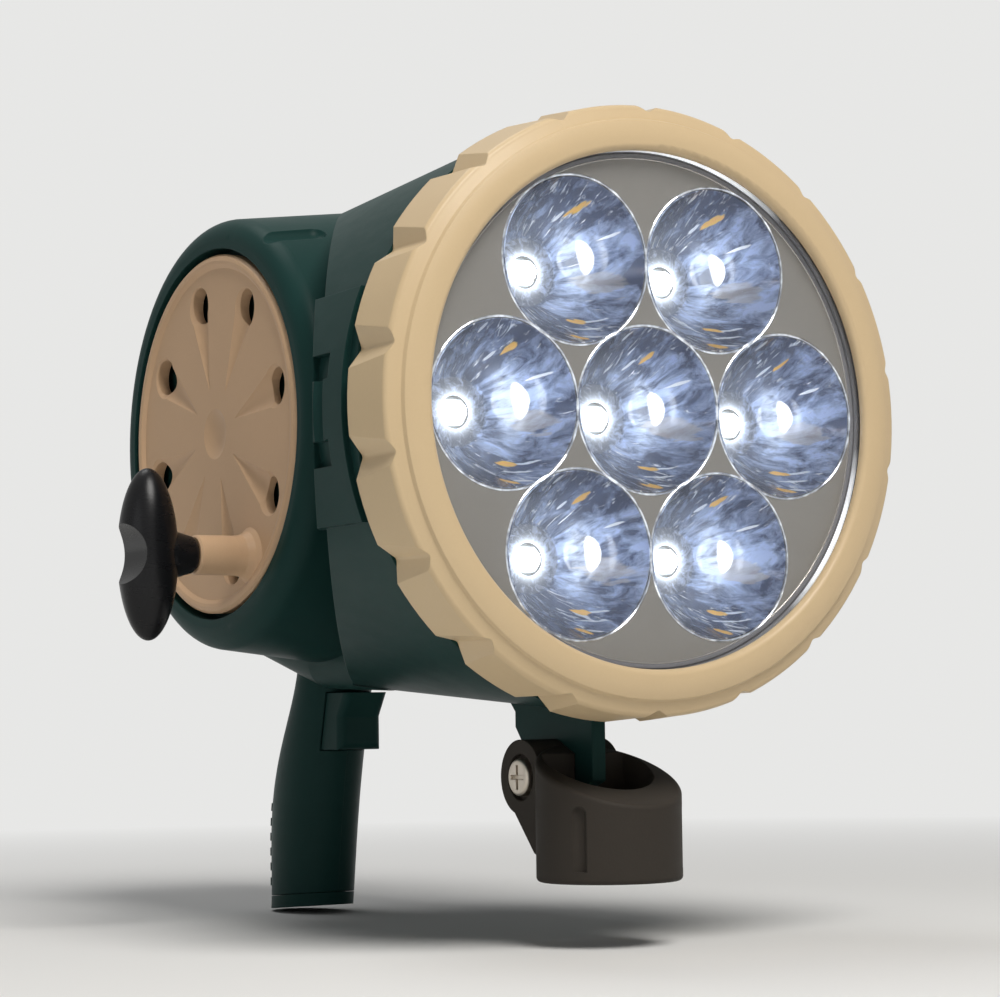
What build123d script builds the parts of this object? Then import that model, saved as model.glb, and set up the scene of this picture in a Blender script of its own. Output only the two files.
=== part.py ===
"""Hand crank lamp on a pistol grip: seven reflector cups in a fluted bezel, a crank disc on the side.

Millimetres, +Z up. The lamp shines along -Y, the crank disc faces -X. The origin is the centre
of the pole socket's mouth, on the underside of the tilting bracket below the lamp.
"""
from math import atan, atan2, cos, degrees, pi, radians, sin, sqrt, tan
import os

from build123d import *

# ---------------------------------------------------------------- driving dimensions
# Places
LAMP_Z = 128.7            # lamp axis above the socket mouth
FRONT_Y = -28.5           # front plane of the bezel
CRANK_DEPTH = 162.0       # crank axis behind the bezel's front plane
CRANK_RISE = 4.8          # crank axis above the lamp axis
PIVOT_DEPTH = 52.7        # bracket pivot behind the bezel's front plane
PIVOT_DROP = 100.2        # bracket pivot below the lamp axis

# Bezel and lens stack (depths are measured back from the bezel's front plane)
BEZEL_R = 85.0
BEZEL_FRONT_R = 83.7
BEZEL_DEPTH = 21.0
LIP_ROUND = 1.8           # radius of the turn from opening to front ring
OPENING_R = 70.8
CREASE_R = 79.0           # the front ring ends here in a step
CREASE_DROP = 1.0
SHELF_DROP = 2.1
FLUTES = 18
FLUTE_BOTTOM_R = 81.7
FLUTE_HALF_DEG = 4.1
SEAT_DEPTH = 2.7
LENS_R = 74.5
LENS_T = 2.0
GASKET_T = 0.9
GASKET_W = 2.0

# Reflector
CUP_PITCH = 46.0
CUP_RIM_R = 23.15
CUP_FLOOR_R = 10.2
CUP_DEPTH = 27.0
CUP_WALL = 1.2
LED_HOLE_R = 4.4
LAND_T = 1.4

# Lamp engine behind the reflector
BOARD_R = 70.0
BOARD_T = 1.6
LED_BASE = 7.0
LED_BASE_T = 1.4
LED_DOME_R = 3.2
SINK_T = 3.0
SINK_FIN_H = 9.0
SINK_FIN_T = 2.0
SINK_FINS = 9
SINK_R = 68.0
SINK_EDGE = 12.0          # from the sink's rim to its outermost fin
ENGINE_SCREWS = 3
ENGINE_SCREW_AT_R = 63.0

# Front shell
WALL = 2.8
SHELL_R = 82.7            # at its front shoulder
SHELL_TAPER = 0.0645      # radius lost per mm of depth
SHELL_END = 148.0
COLLAR_R = 78.0
COLLAR_BORE_R = 72.2
SHOULDER_DEPTH = 21.2
FLANK_FRONT = (73.0, 55.3)    # half width, depth: the flanks start here
FLANK_REAR = (25.0, 131.5)    # half width, depth: and pass here
WEB_DEPTH = 83.0
WEB_T = 3.0
PAD_RISE = 1.7
PAD_FRONT = 26.0
PAD_BACK = 5.0            # how far a pad runs on behind the flank's edge
PAD_TOP = 32.0
PAD_BOTTOM = -31.0
WINDOW_Z = (11.4, -12.0)
WINDOW_H = 7.0
WINDOW_D = (35.5, 47.0)
WINDOW_SINK = 2.4
CHANNEL_R = 3.4

# Fin under the shell
FIN_T = 4.4
FIN_FRONT = 33.0
FIN_BACK = 73.5
FIN_LOBE_R = 9.0

# Rear drum and its halves
DRUM_HALF = 56.4
DRUM_FACE_R = 66.0
DRUM_MID_R = 73.0
DRUM_ROUND = 7.0
RECESS_R = 57.3
RECESS_DEPTH = 7.5
FLOOR_T = 2.8
KEEL_HALF = 20.0
KEEL_DROP = 74.6          # keel bottom below the lamp axis, at the front
KEEL_REAR_DROP = 70.0
KEEL_FROM = 126.0
KEEL_TO = 216.0
NICHE_LENGTH = 26.0
NICHE_WIDTH = 8.6
NICHE_SINK = 2.0
NICHE_X = 47.0
NICHE_DEG = 31.0

# Grip (sections: height above the socket mouth, centre y, width, depth)
GRIP_SECTIONS = (
    (76.7, 158.6, 26.0, 28.0),
    (51.0, 162.6, 24.4, 28.8),
    (25.3, 172.2, 25.0, 37.5),
    (-0.4, 176.0, 24.6, 36.8),
    (-26.1, 179.6, 24.0, 36.4),
)
GRIP_WALL = 2.6
BUTT_Y = 178.0
BUTT_Z = -16.2
CAP_T = 4.0
INSERT_W = 15.0
INSERT_T = 2.2
INSERT_TOP = 18.5
INSERT_BOTTOM = -11.0
RIB_COUNT = 6
RIB_H = 1.3
RIB_T = 2.6

# Trigger
TRIGGER_HALF = 7.6
TRIGGER_FRONT_Y = 142.6
TRIGGER_TOP_Y = 137.4
TRIGGER_BACK_Y = 159.5
TRIGGER_LOW_Z = 35.2
TRIGGER_HIGH_Z = 53.4
TRIGGER_FLANGE_HALF = 4.4
TRIGGER_FLANGE_T = 2.4
TRIGGER_FLANGE_H = 3.4
SWITCH_SHELF_DROP = 11.0
TRIGGER_TRAVEL = 4.0
SPRING_R = 3.0
SPRING_WIRE_R = 0.45
SPRING_TURNS = 5
SPRING_LENGTH = 10.0

# Crank disc, post and knob
DISC_R = 55.5
DISC_FACE_X = -55.2
DISC_T = 4.2
DISC_RIM_W = 4.2
DISC_RIM_RISE = 1.3
VENTS = 8
VENT_AT_R = 42.7
VENT_R = 5.6
SCOOP_BALL_R = 9.0
SCOOP_SINK = 2.8
VENT_FIRST_DEG = 30.0     # from the top towards the front
SCOOP_FROM_R = 14.5
DIMPLE_R = 7.8
DIMPLE_SINK = 1.6
HUB_R = 9.5
POST_AT_R = 45.2
POST_DEG = 149.2          # from the top towards the front
POST_R = 6.0
POST_LENGTH = 18.6
NECK_LENGTH = 7.0
NECK_R = 5.6
NECK_WIDE_R = 7.4
KNOB_R = 9.0
KNOB_Z = 25.5             # half length
KNOB_DENT_R = 11.0
KNOB_DENT_SINK = 5.2
PIN_R = 2.0
PIN_HEAD_R = 3.1

# Crank shaft and gears
SHAFT_R = 4.0
BUSH_R = 6.2
GEAR_MODULE = 1.0
DRIVE_TEETH = 60
PINION_TEETH = 12
WHEEL_TEETH = 48
GEAR_W = 5.0
WHEEL_W = 4.0
BACKLASH = 0.16
AXLE_R = 1.5
PLATE_T = 2.0
PLATE_R = 50.0
OUTER_PLATE_X = -42.6     # outer face of the plate beside the crank
INNER_PLATE_X = -22.0
GEAR_X = -39.6            # where the drive gear starts
STAGE_DEG = 60.0          # first pinion, from straight back towards the top
SPACER_R = 3.0
SPACER_AT_R = 44.0
SPACER_DEGS = (0.0, 150.0, 220.0, 300.0)

# Generator
CASE_R = 20.0
CASE_L = 24.0
CASE_WALL = 1.4
COIL_R = 18.2
COIL_BORE_R = 12.0
MAGNET_R = 10.5

# Cells and board
CELL_R = 7.1
CELL_L = 47.5
CELL_PITCH = 15.0
CELLS = 4
CELL_X = 1.4
CONTACT_T = 0.6
CELL_DROP = 42.0          # below the crank axis
PCB_X = 24.0
PCB_T = 1.6
PCB_Y = (-32.0, 30.0)     # about the crank axis
PCB_Z = (-22.0, 34.0)
COVER_R = 57.8
COVER_T = 2.6
LEDGE_R = 51.0

# Bracket
CUP_R = 20.3
SOCKET_R = 14.0
SOCKET_L = 18.0
STOP_R = 11.5
STOP_T = 2.5
POCKET_R = 15.6
POCKET_BACK = 5.4
POCKET_END = 13.0
BRACKET_RIM_FRONT = 21.1
BRACKET_RIM_SLOPE = 0.42
BRACKET_RIM_ROUND = 1.5
CLEVIS_HALF = 13.6
LOBE_R = 10.6
BOLT_R = 2.5
BOLT_HEAD_R = 5.3
BOLT_HEAD_T = 2.8
HEAD_POCKET_R = 6.6
HEAD_POCKET_DEPTH = 1.6
NUT_FLATS = 8.0
NUT_T = 4.0
NUT_POCKET = 3.4
SIDE_GROOVE_W = 4.6
SIDE_GROOVE_DEG = 57.0    # from straight ahead towards the crank side

# Clearances
SEAM = 0.2                # between fixed neighbours
GAP = 0.3                 # between a moving piece and a fixed one
RUN = 0.05                # radial, shaft in bore
FIT = 0.02                # radial, fixed pin in hole

# ---------------------------------------------------------------- derived places
CRANK_Y = FRONT_Y + CRANK_DEPTH
CRANK_Z = LAMP_Z + CRANK_RISE
PIVOT_Y = FRONT_Y + PIVOT_DEPTH
PIVOT_Z = LAMP_Z - PIVOT_DROP
LENS_DEPTH = SEAT_DEPTH
GASKET_DEPTH = LENS_DEPTH + LENS_T
LAND_DEPTH = GASKET_DEPTH + GASKET_T
COLLAR_DEPTH = LAND_DEPTH + LAND_T
CUP_FLOOR_DEPTH = LAND_DEPTH + CUP_DEPTH
BOARD_DEPTH = CUP_FLOOR_DEPTH + CUP_WALL + SEAM
SINK_DEPTH = BOARD_DEPTH + BOARD_T
CUP_CENTRES = [(0.0, 0.0)] + [
    (CUP_PITCH * cos(radians(60 * k)), CUP_PITCH * sin(radians(60 * k))) for k in range(6)
]
PINION_DISTANCE = GEAR_MODULE * (DRIVE_TEETH + PINION_TEETH) / 2
ROTOR_DISTANCE = GEAR_MODULE * (WHEEL_TEETH + PINION_TEETH) / 2
STAGE_Y = CRANK_Y + PINION_DISTANCE * cos(radians(STAGE_DEG))
STAGE_Z = CRANK_Z + PINION_DISTANCE * sin(radians(STAGE_DEG))
ROTOR_Y = STAGE_Y - ROTOR_DISTANCE
ROTOR_Z = STAGE_Z
WHEEL_X = GEAR_X + GEAR_W + 0.6
CASE_X = INNER_PLATE_X + PLATE_T
RECESS_X = -DRUM_HALF + RECESS_DEPTH
FLOOR_IN_X = RECESS_X + FLOOR_T
POST_Y = CRANK_Y - POST_AT_R * sin(radians(POST_DEG))
POST_Z = CRANK_Z + POST_AT_R * cos(radians(POST_DEG))
POST_END_X = DISC_FACE_X - POST_LENGTH
KNOB_START_X = POST_END_X - GAP
KNOB_CENTRE_X = KNOB_START_X - NECK_LENGTH - KNOB_R + 1.5
BUTT_SLOPE = (0.0 - BUTT_Z) / (BUTT_Y + CUP_R)
BUTT_DEG = degrees(atan(BUTT_SLOPE))
CELL_Z = CRANK_Z - CELL_DROP
COVER_X = DRUM_HALF - COVER_T


# ---------------------------------------------------------------- helpers
def cyl_x(radius, x0, x1, y, z):
    """Cylinder along X from x0 to x1."""
    return Pos((x0 + x1) / 2, y, z) * Rot(0, 90, 0) * Cylinder(radius, abs(x1 - x0))


def cyl_y(radius, y0, y1, x, z):
    """Cylinder along Y from y0 to y1."""
    return Pos(x, (y0 + y1) / 2, z) * Rot(90, 0, 0) * Cylinder(radius, abs(y1 - y0))


def cyl_z(radius, z0, z1, x, y):
    """Cylinder along Z from z0 to z1."""
    return Pos(x, y, (z0 + z1) / 2) * Cylinder(radius, abs(z1 - z0))


def box(x0, x1, y0, y1, z0, z1):
    """Box between two corners."""
    return Pos((x0 + x1) / 2, (y0 + y1) / 2, (z0 + z1) / 2) * Box(x1 - x0, y1 - y0, z1 - z0)


def lamp_turned(profile):
    """Turn (radius, depth) points about the lamp axis."""
    face = Polygon(*[(r, FRONT_Y + d) for r, d in profile], align=None)
    return Pos(0, 0, LAMP_Z) * revolve(face, axis=Axis.Y)


def lamp_turned_edges(edges):
    """Turn a closed run of edges, drawn as (radius, y), about the lamp axis."""
    return Pos(0, 0, LAMP_Z) * revolve(make_face(edges), axis=Axis.Y)


def crank_turned(profile, y=CRANK_Y, z=CRANK_Z):
    """Turn (x, radius) points about an axis along X."""
    face = Polygon(*profile, align=None)
    return Pos(0, y, z) * revolve(face, axis=Axis.X)


def ring_x(outer, inner, x0, x1, y, z):
    """Tube along X."""
    return cyl_x(outer, x0, x1, y, z) - cyl_x(inner, x0 - 1, x1 + 1, y, z)


def side_profile(points, half):
    """Extrude (y, z) points evenly about x = 0 by half each way."""
    plane = Plane((0, 0, 0), x_dir=(0, 1, 0), z_dir=(1, 0, 0))
    return extrude(plane * Polygon(*points, align=None), half, both=True)


def about_crank(angle_deg, radius):
    """(y, z) at an angle from straight back towards the top, about the crank axis."""
    a = radians(angle_deg)
    return CRANK_Y + radius * cos(a), CRANK_Z + radius * sin(a)


def clock(angle_deg, radius):
    """(y, z) at an angle from the top towards the front, about the crank axis."""
    a = radians(angle_deg)
    return CRANK_Y - radius * sin(a), CRANK_Z + radius * cos(a)


def screw(head_r, head_h, shank_r, length):
    """Pan head screw along +Z: head below z = 0, shank above, with a cross recess."""
    head = Pos(0, 0, -head_h / 2) * Cylinder(head_r, head_h)
    head = fillet(head.edges().sort_by(Axis.Z)[0], head_h * 0.45)
    slot = Pos(0, 0, -head_h) * Box(head_r * 1.2, head_r * 0.28, head_h)
    return head + Pos(0, 0, length / 2) * Cylinder(shank_r, length) - slot - Rot(0, 0, 90) * slot


def group(solids):
    """Several separate solids in one node."""
    return Compound(children=list(solids))


# ---------------------------------------------------------------- gears
def involute_point(base_r, angle):
    """Point on an involute that leaves its base circle on the +X axis."""
    return (base_r * (cos(angle) + angle * sin(angle)), base_r * (sin(angle) - angle * cos(angle)))


def gear_outline(teeth, addendum, dedendum):
    """Closed list of points of a spur gear, a tooth centred on +X."""
    pitch_r = GEAR_MODULE * teeth / 2
    base_r = pitch_r * cos(radians(20))
    tip_r = pitch_r + addendum
    root_r = pitch_r - dedendum
    half_tooth = (pi * GEAR_MODULE / 2 - BACKLASH) / 2 / pitch_r
    at_pitch = tan(radians(20)) - radians(20)
    start_r = max(base_r, root_r)
    flank = []
    for k in range(4):
        r = start_r + (tip_r - start_r) * k / 3
        roll = sqrt(max((r / base_r) ** 2 - 1, 0.0))
        x, y = involute_point(base_r, roll)
        flank.append((r, half_tooth + at_pitch - atan2(y, x)))
    points = []
    for t in range(teeth):
        mid = 2 * pi * t / teeth
        root_half = flank[0][1] + 0.02 * GEAR_MODULE * 2 / pitch_r
        points.append((root_r * cos(mid - root_half), root_r * sin(mid - root_half)))
        for r, half in flank:
            points.append((r * cos(mid - half), r * sin(mid - half)))
        for r, half in reversed(flank):
            points.append((r * cos(mid + half), r * sin(mid + half)))
        points.append((root_r * cos(mid + root_half), root_r * sin(mid + root_half)))
    return points


def gear(teeth, x0, width, y, z, turn_deg, addendum=0.95, dedendum=1.2):
    """Spur gear along +X from x0; turn_deg takes its first tooth from +Y towards +Z."""
    outline = gear_outline(teeth, addendum * GEAR_MODULE, dedendum * GEAR_MODULE)
    plane = Plane((x0, y, z), x_dir=(0, 1, 0), z_dir=(1, 0, 0))
    face = Rot(0, 0, turn_deg) * Polygon(*outline, align=None)
    return extrude(plane * face, width)


# ---------------------------------------------------------------- shared envelopes
def shell_r(depth):
    """Outer radius of the front shell at a depth."""
    return SHELL_R - SHELL_TAPER * (depth - SHOULDER_DEPTH)


def flank_prism(shift, inset=0.0, front=0.0):
    """Everything between the two flanks, moved back by shift and in by inset."""
    slope = (FLANK_REAR[1] - FLANK_FRONT[1]) / (FLANK_FRONT[0] - FLANK_REAR[0])
    wide = 2 * BEZEL_R
    tip = FLANK_REAR[1] + FLANK_REAR[0] * slope + shift - inset * sqrt(1 + slope * slope)
    front_depth = tip - wide * slope
    points = [(-wide, front_depth), (0, tip), (wide, front_depth)]
    if front_depth > front:
        points = [(-wide, front), *points, (wide, front)]
    outline = Polygon(*[(x, FRONT_Y + d) for x, d in points], align=None)
    return extrude(Pos(0, 0, LAMP_Z) * outline, 2 * BEZEL_R, both=True)


def shell_solid(inset=0.0, start=SHOULDER_DEPTH, end=SHELL_END):
    """Solid cone of the front shell, its radius reduced by inset."""
    cone = lamp_turned([(0, start), (shell_r(start) - inset, start), (shell_r(end) - inset, end), (0, end)])
    return cone & flank_prism(0.0, inset)


def drum_solid(inset=0.0, x0=-DRUM_HALF, x1=DRUM_HALF):
    """Solid rear drum, widest at the middle, its radius reduced by inset."""
    slope = (DRUM_MID_R - DRUM_FACE_R) / DRUM_HALF

    def radius(x):
        return DRUM_MID_R - slope * abs(x) - inset

    profile = [(x0, 0), (x0, radius(x0)), (0, radius(0)), (x1, radius(x1)), (x1, 0)]
    return crank_turned(profile)


def grip_solid(inset=0.0):
    """Lofted grip, each section reduced by inset all round."""
    faces = []
    for z, y, width, depth in GRIP_SECTIONS:
        faces.append(Pos(0, y, z) * Ellipse(width / 2 - inset, depth / 2 - inset))
    return loft(faces)


def grip_centre(z):
    """Centre line of the grip, straight between its sections."""
    for (z1, y1, *_), (z0, y0, *_) in zip(GRIP_SECTIONS, GRIP_SECTIONS[1:]):
        if z0 <= z <= z1:
            return y0 + (y1 - y0) * (z - z0) / (z1 - z0)
    return GRIP_SECTIONS[-1][1]


def butt_block(height):
    """Everything below the slanted butt plane raised by height."""
    block = Box(120, 120, 60, align=(Align.CENTER, Align.CENTER, Align.MAX))
    return Pos(0, BUTT_Y, BUTT_Z + height) * Rot(-BUTT_DEG, 0, 0) * block


def keel_solid():
    """Blend under the drum that carries the shell's bottom line back to the grip."""
    front_y, back_y = FRONT_Y + KEEL_FROM, FRONT_Y + KEEL_TO
    outline = [
        (front_y, LAMP_Z - KEEL_DROP - 0.6),
        (front_y + 44, LAMP_Z - KEEL_DROP + 0.6),
        (back_y, LAMP_Z - KEEL_REAR_DROP + 8),
        (back_y, LAMP_Z - 20),
        (front_y, LAMP_Z - 20),
    ]
    keel = side_profile(outline, KEEL_HALF)
    low = [e for e in keel.edges().filter_by(GeomType.LINE) if e.center().Z < LAMP_Z - KEEL_REAR_DROP + 12]
    low = [e for e in low if abs(e.center().X) > 1]
    return fillet(low, 9.0)


# ---------------------------------------------------------------- front end
def make_bezel():
    """Fluted bezel: a turned ring trimmed by an outline with rounded V flutes."""
    y = FRONT_Y
    inner_turn = [
        (COLLAR_R + SEAM, y + COLLAR_DEPTH),
        (LENS_R + SEAM, y + COLLAR_DEPTH),
        (LENS_R + SEAM, y + SEAT_DEPTH),
        (OPENING_R, y + SEAT_DEPTH),
        (OPENING_R, y + LIP_ROUND),
    ]
    lip_end = (OPENING_R + LIP_ROUND, y)
    lip_bend = LIP_ROUND * (1 - sqrt(0.5))
    crease = (CREASE_R, y + CREASE_DROP)
    shelf = (CREASE_R + 0.5, y + SHELF_DROP)
    shoulder_in = (BEZEL_FRONT_R - 1.6, y + 3.2)
    shoulder_out = (BEZEL_FRONT_R, y + 5.2)
    bend = (BEZEL_FRONT_R - 0.5, y + 3.8)
    back_out = (BEZEL_R, y + BEZEL_DEPTH)
    back_in = (COLLAR_R + SEAM, y + BEZEL_DEPTH)
    edges = [
        Polyline(*inner_turn),
        ThreePointArc(inner_turn[-1], (OPENING_R + lip_bend, y + lip_bend), lip_end),
        ThreePointArc(lip_end, (OPENING_R + 5.0, y + 0.1), crease),
        Line(crease, shelf),
        Line(shelf, shoulder_in),
        ThreePointArc(shoulder_in, bend, shoulder_out),
        Line(shoulder_out, back_out),
        Line(back_out, back_in),
        Line(back_in, inner_turn[0]),
    ]
    ring = lamp_turned_edges([e for wire in edges for e in wire.edges()])
    outline_r = BEZEL_R + 0.15
    step = 360 / FLUTES
    runs = []

    def at(r, deg):
        return (r * sin(radians(deg)), r * cos(radians(deg)))

    for k in range(FLUTES):
        mid = k * step
        a, b = mid + FLUTE_HALF_DEG, mid + step - FLUTE_HALF_DEG
        runs.append(Line(at(FLUTE_BOTTOM_R, mid), at(outline_r, a)))
        runs.append(ThreePointArc(at(outline_r, a), at(outline_r, mid + step / 2), at(outline_r, b)))
        runs.append(Line(at(outline_r, b), at(FLUTE_BOTTOM_R, mid + step)))
    face = make_face([e for run in runs for e in run.edges()])
    face = fillet(face.vertices(), 1.4)
    plane = Plane((0, FRONT_Y - 1, LAMP_Z), x_dir=(1, 0, 0), z_dir=(0, 1, 0))
    return ring & extrude(plane * face, BEZEL_DEPTH + 2)


def make_lens():
    """Flat clear disc behind the bezel's lip."""
    return lamp_turned([(0, LENS_DEPTH), (LENS_R, LENS_DEPTH), (LENS_R, GASKET_DEPTH), (0, GASKET_DEPTH)])


def make_gasket():
    """Flat ring between lens and reflector."""
    inner = LENS_R - GASKET_W
    return lamp_turned(
        [(inner, GASKET_DEPTH), (LENS_R, GASKET_DEPTH), (LENS_R, LAND_DEPTH), (inner, LAND_DEPTH)]
    )


def cup_turned(wall, start, bottom):
    """One reflector cup as a solid of revolution about Y; wall thickens it outwards."""
    mid_r = sqrt((CUP_RIM_R ** 2 + CUP_FLOOR_R ** 2) / 2)
    rim = (CUP_RIM_R + wall, LAND_DEPTH)
    middle = (mid_r + wall, LAND_DEPTH + CUP_DEPTH / 2)
    foot = (CUP_FLOOR_R + wall, CUP_FLOOR_DEPTH)
    straight = [foot, (foot[0], bottom), (0, bottom), (0, start), (rim[0], start), rim]
    edges = [ThreePointArc(rim, middle, foot)]
    edges += [Line(a, b) for a, b in zip(straight, straight[1:]) if a != b]
    return Pos(0, FRONT_Y, LAMP_Z) * revolve(make_face(edges), axis=Axis.Y)


def make_reflector():
    """Seven cups in one flat land, with a hole for an emitter in each floor."""
    outer = cup_turned(CUP_WALL, LAND_DEPTH, CUP_FLOOR_DEPTH + CUP_WALL)
    bowl = cup_turned(0.0, LAND_DEPTH - 1.0, CUP_FLOOR_DEPTH)
    land = lamp_turned(
        [(0, LAND_DEPTH), (LENS_R, LAND_DEPTH), (LENS_R, COLLAR_DEPTH), (0, COLLAR_DEPTH)]
    )
    body = land
    for x, z in CUP_CENTRES:
        body = body + Pos(x, 0, z) * outer
    for x, z in CUP_CENTRES:
        body = body - Pos(x, 0, z) * bowl
        y0 = FRONT_Y + CUP_FLOOR_DEPTH
        body = body - cyl_y(LED_HOLE_R, y0 - 1, y0 + CUP_WALL + 1, x, LAMP_Z + z)
    for x, z in engine_screw_places():
        post = cyl_y(3.2, FRONT_Y + COLLAR_DEPTH, FRONT_Y + BOARD_DEPTH, x, LAMP_Z + z)
        body = body + (post - cyl_y(1.2, FRONT_Y + BOARD_DEPTH - 8, FRONT_Y + BOARD_DEPTH + 1, x, LAMP_Z + z))
    return body


def engine_screw_places():
    """(x, z) of the lamp engine's screws about the lamp axis, between the outer cups."""
    turns = [radians(30 + 360 / ENGINE_SCREWS * k) for k in range(ENGINE_SCREWS)]
    return [(ENGINE_SCREW_AT_R * cos(a), ENGINE_SCREW_AT_R * sin(a)) for a in turns]


def make_led_board():
    """Round board that carries the seven emitters, with the engine's screw holes."""
    y0 = FRONT_Y + BOARD_DEPTH
    board = cyl_y(BOARD_R, y0, y0 + BOARD_T, 0, LAMP_Z)
    for x, z in engine_screw_places():
        board = board - cyl_y(1.5, y0 - 1, y0 + BOARD_T + 1, x, LAMP_Z + z)
    return board


def make_led_bases():
    """Square bases of the emitters."""
    y1 = FRONT_Y + BOARD_DEPTH
    half = LED_BASE / 2
    solids = []
    for x, z in CUP_CENTRES:
        base = box(x - half, x + half, y1 - LED_BASE_T, y1, LAMP_Z + z - half, LAMP_Z + z + half)
        solids.append(base & cyl_y(LED_HOLE_R - SEAM, y1 - 4, y1 + 1, x, LAMP_Z + z))
    return group(solids)


def make_led_domes():
    """Domes of the emitters, centred in the cups' floors."""
    y1 = FRONT_Y + BOARD_DEPTH - LED_BASE_T
    solids = []
    for x, z in CUP_CENTRES:
        ball = Pos(x, y1 - 1.0, LAMP_Z + z) * Sphere(LED_DOME_R)
        drum = cyl_y(LED_DOME_R, y1 - 1.0, y1, x, LAMP_Z + z)
        front = box(x - 9, x + 9, y1 - 9, y1 - 1.0, LAMP_Z + z - 9, LAMP_Z + z + 9)
        solids.append((ball & front) + drum)
    return group(solids)


def make_heat_sink():
    """Round plate with upright fins behind the board."""
    y0 = FRONT_Y + SINK_DEPTH
    sink = cyl_y(SINK_R, y0, y0 + SINK_T, 0, LAMP_Z)
    pitch = 2 * (SINK_R - SINK_EDGE) / (SINK_FINS - 1)
    for k in range(SINK_FINS):
        x = -(SINK_R - SINK_EDGE) + k * pitch
        half = sqrt(SINK_R ** 2 - x ** 2) - 8
        sink = sink + box(
            x - SINK_FIN_T / 2, x + SINK_FIN_T / 2,
            y0 + SINK_T - 0.5, y0 + SINK_T + SINK_FIN_H, LAMP_Z - half, LAMP_Z + half,
        )
    for x, z in engine_screw_places():
        sink = sink - cyl_y(1.5, y0 - 1, y0 + SINK_T + SINK_FIN_H + 1, x, LAMP_Z + z)
        sink = sink - cyl_y(3.4, y0 + SINK_T, y0 + SINK_T + SINK_FIN_H + 1, x, LAMP_Z + z)
    return sink


def make_engine_screws():
    """Three screws that hold heat sink and board to the reflector's posts."""
    y0 = FRONT_Y + SINK_DEPTH + SINK_T
    solids = []
    for x, z in engine_screw_places():
        solids.append(Pos(x, y0, LAMP_Z + z) * Rot(90, 0, 0) * screw(2.8, 1.8, 1.18, 9.0))
    return group(solids)


WEB_SCREWS = [(26.0, 26.0), (26.0, -18.0), (-26.0, 26.0), (-26.0, -18.0)]


def make_front_shell():
    """Bell behind the bezel: collar, tapered wall, two flanks, web, side pads and fin."""
    r_end = shell_r(SHELL_END)
    wall = lamp_turned([
        (COLLAR_BORE_R, COLLAR_DEPTH),
        (COLLAR_R, COLLAR_DEPTH),
        (COLLAR_R, SHOULDER_DEPTH),
        (SHELL_R, SHOULDER_DEPTH),
        (r_end, SHELL_END),
        (r_end - WALL, SHELL_END),
        (shell_r(25) - WALL, 25),
        (COLLAR_BORE_R, 25),
    ])
    wall = wall & flank_prism(0.0)
    flanks = shell_solid(0.0, 25) - flank_prism(0.0, WALL)
    web = shell_solid(0.5, WEB_DEPTH, WEB_DEPTH + WEB_T)
    shell = wall + flanks + web
    for side in (-1, 1):
        band = lamp_turned([
            (shell_r(PAD_FRONT) - 1.5, PAD_FRONT),
            (shell_r(PAD_FRONT) + PAD_RISE, PAD_FRONT),
            (shell_r(62) + PAD_RISE, 62),
            (shell_r(62) - WALL, 62),
        ])
        reach = box(
            *sorted((side * 60, side * 95)), FRONT_Y, FRONT_Y + 62,
            LAMP_Z + PAD_BOTTOM, LAMP_Z + PAD_TOP,
        )
        pad = band & reach & flank_prism(PAD_BACK)
        shell = shell + pad
        for z in WINDOW_Z:
            window = box(
                *sorted((side * 40, side * 95)),
                FRONT_Y + WINDOW_D[0], FRONT_Y + WINDOW_D[1],
                LAMP_Z + z - WINDOW_H / 2, LAMP_Z + z + WINDOW_H / 2,
            )
            keep = lamp_turned([
                (0, 0), (shell_r(0) + PAD_RISE - WINDOW_SINK, 0),
                (shell_r(90) + PAD_RISE - WINDOW_SINK, 90), (0, 90),
            ])
            shell = shell - (window - keep)
        mid_d = (WINDOW_D[0] + WINDOW_D[1]) / 2
        x = side * (shell_r(mid_d) + PAD_RISE + CHANNEL_R * 0.45)
        low, high = LAMP_Z + WINDOW_Z[1], LAMP_Z + WINDOW_Z[0]
        shell = shell - cyl_z(CHANNEL_R, low, high, x, FRONT_Y + mid_d)
    shell = shell - drum_solid(-SEAM)
    # Fin that hangs between the bracket's cheeks
    top = LAMP_Z - shell_r(FIN_BACK) + 1.5
    front_y, back_y = FRONT_Y + FIN_FRONT, FRONT_Y + FIN_BACK
    outline = [
        (front_y, top + 6), (front_y, PIVOT_Z - 1.0), (PIVOT_Y - 13, PIVOT_Z - 3.5),
        (PIVOT_Y, PIVOT_Z - 3.5), (PIVOT_Y + 11, PIVOT_Z + 2), (back_y, PIVOT_Z + 14), (back_y, top + 6),
    ]
    fin = side_profile(outline, FIN_T / 2) + cyl_x(FIN_LOBE_R, -FIN_T / 2, FIN_T / 2, PIVOT_Y, PIVOT_Z)
    root = side_profile([(front_y, top + 6), (front_y - 3, top), (front_y, top - 3), (back_y, top - 4),
                         (back_y + 5, top + 1), (back_y, top + 6)], FIN_T / 2)
    fin = (fin + root) - lamp_turned([(0, 20), (shell_r(20) - 1, 20), (shell_r(90) - 1, 90), (0, 90)])
    shell = shell + fin - cyl_x(BOLT_R + RUN, -20, 20, PIVOT_Y, PIVOT_Z)
    # Lead hole and screw holes in the web
    y0, y1 = FRONT_Y + WEB_DEPTH - 1, FRONT_Y + WEB_DEPTH + WEB_T + 1
    shell = shell - cyl_y(6.0, y0, y1, 0, CRANK_Z)
    for x, z in WEB_SCREWS:
        shell = shell - cyl_y(1.7, y0, y1, x, CRANK_Z + z)
    return shell


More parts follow.
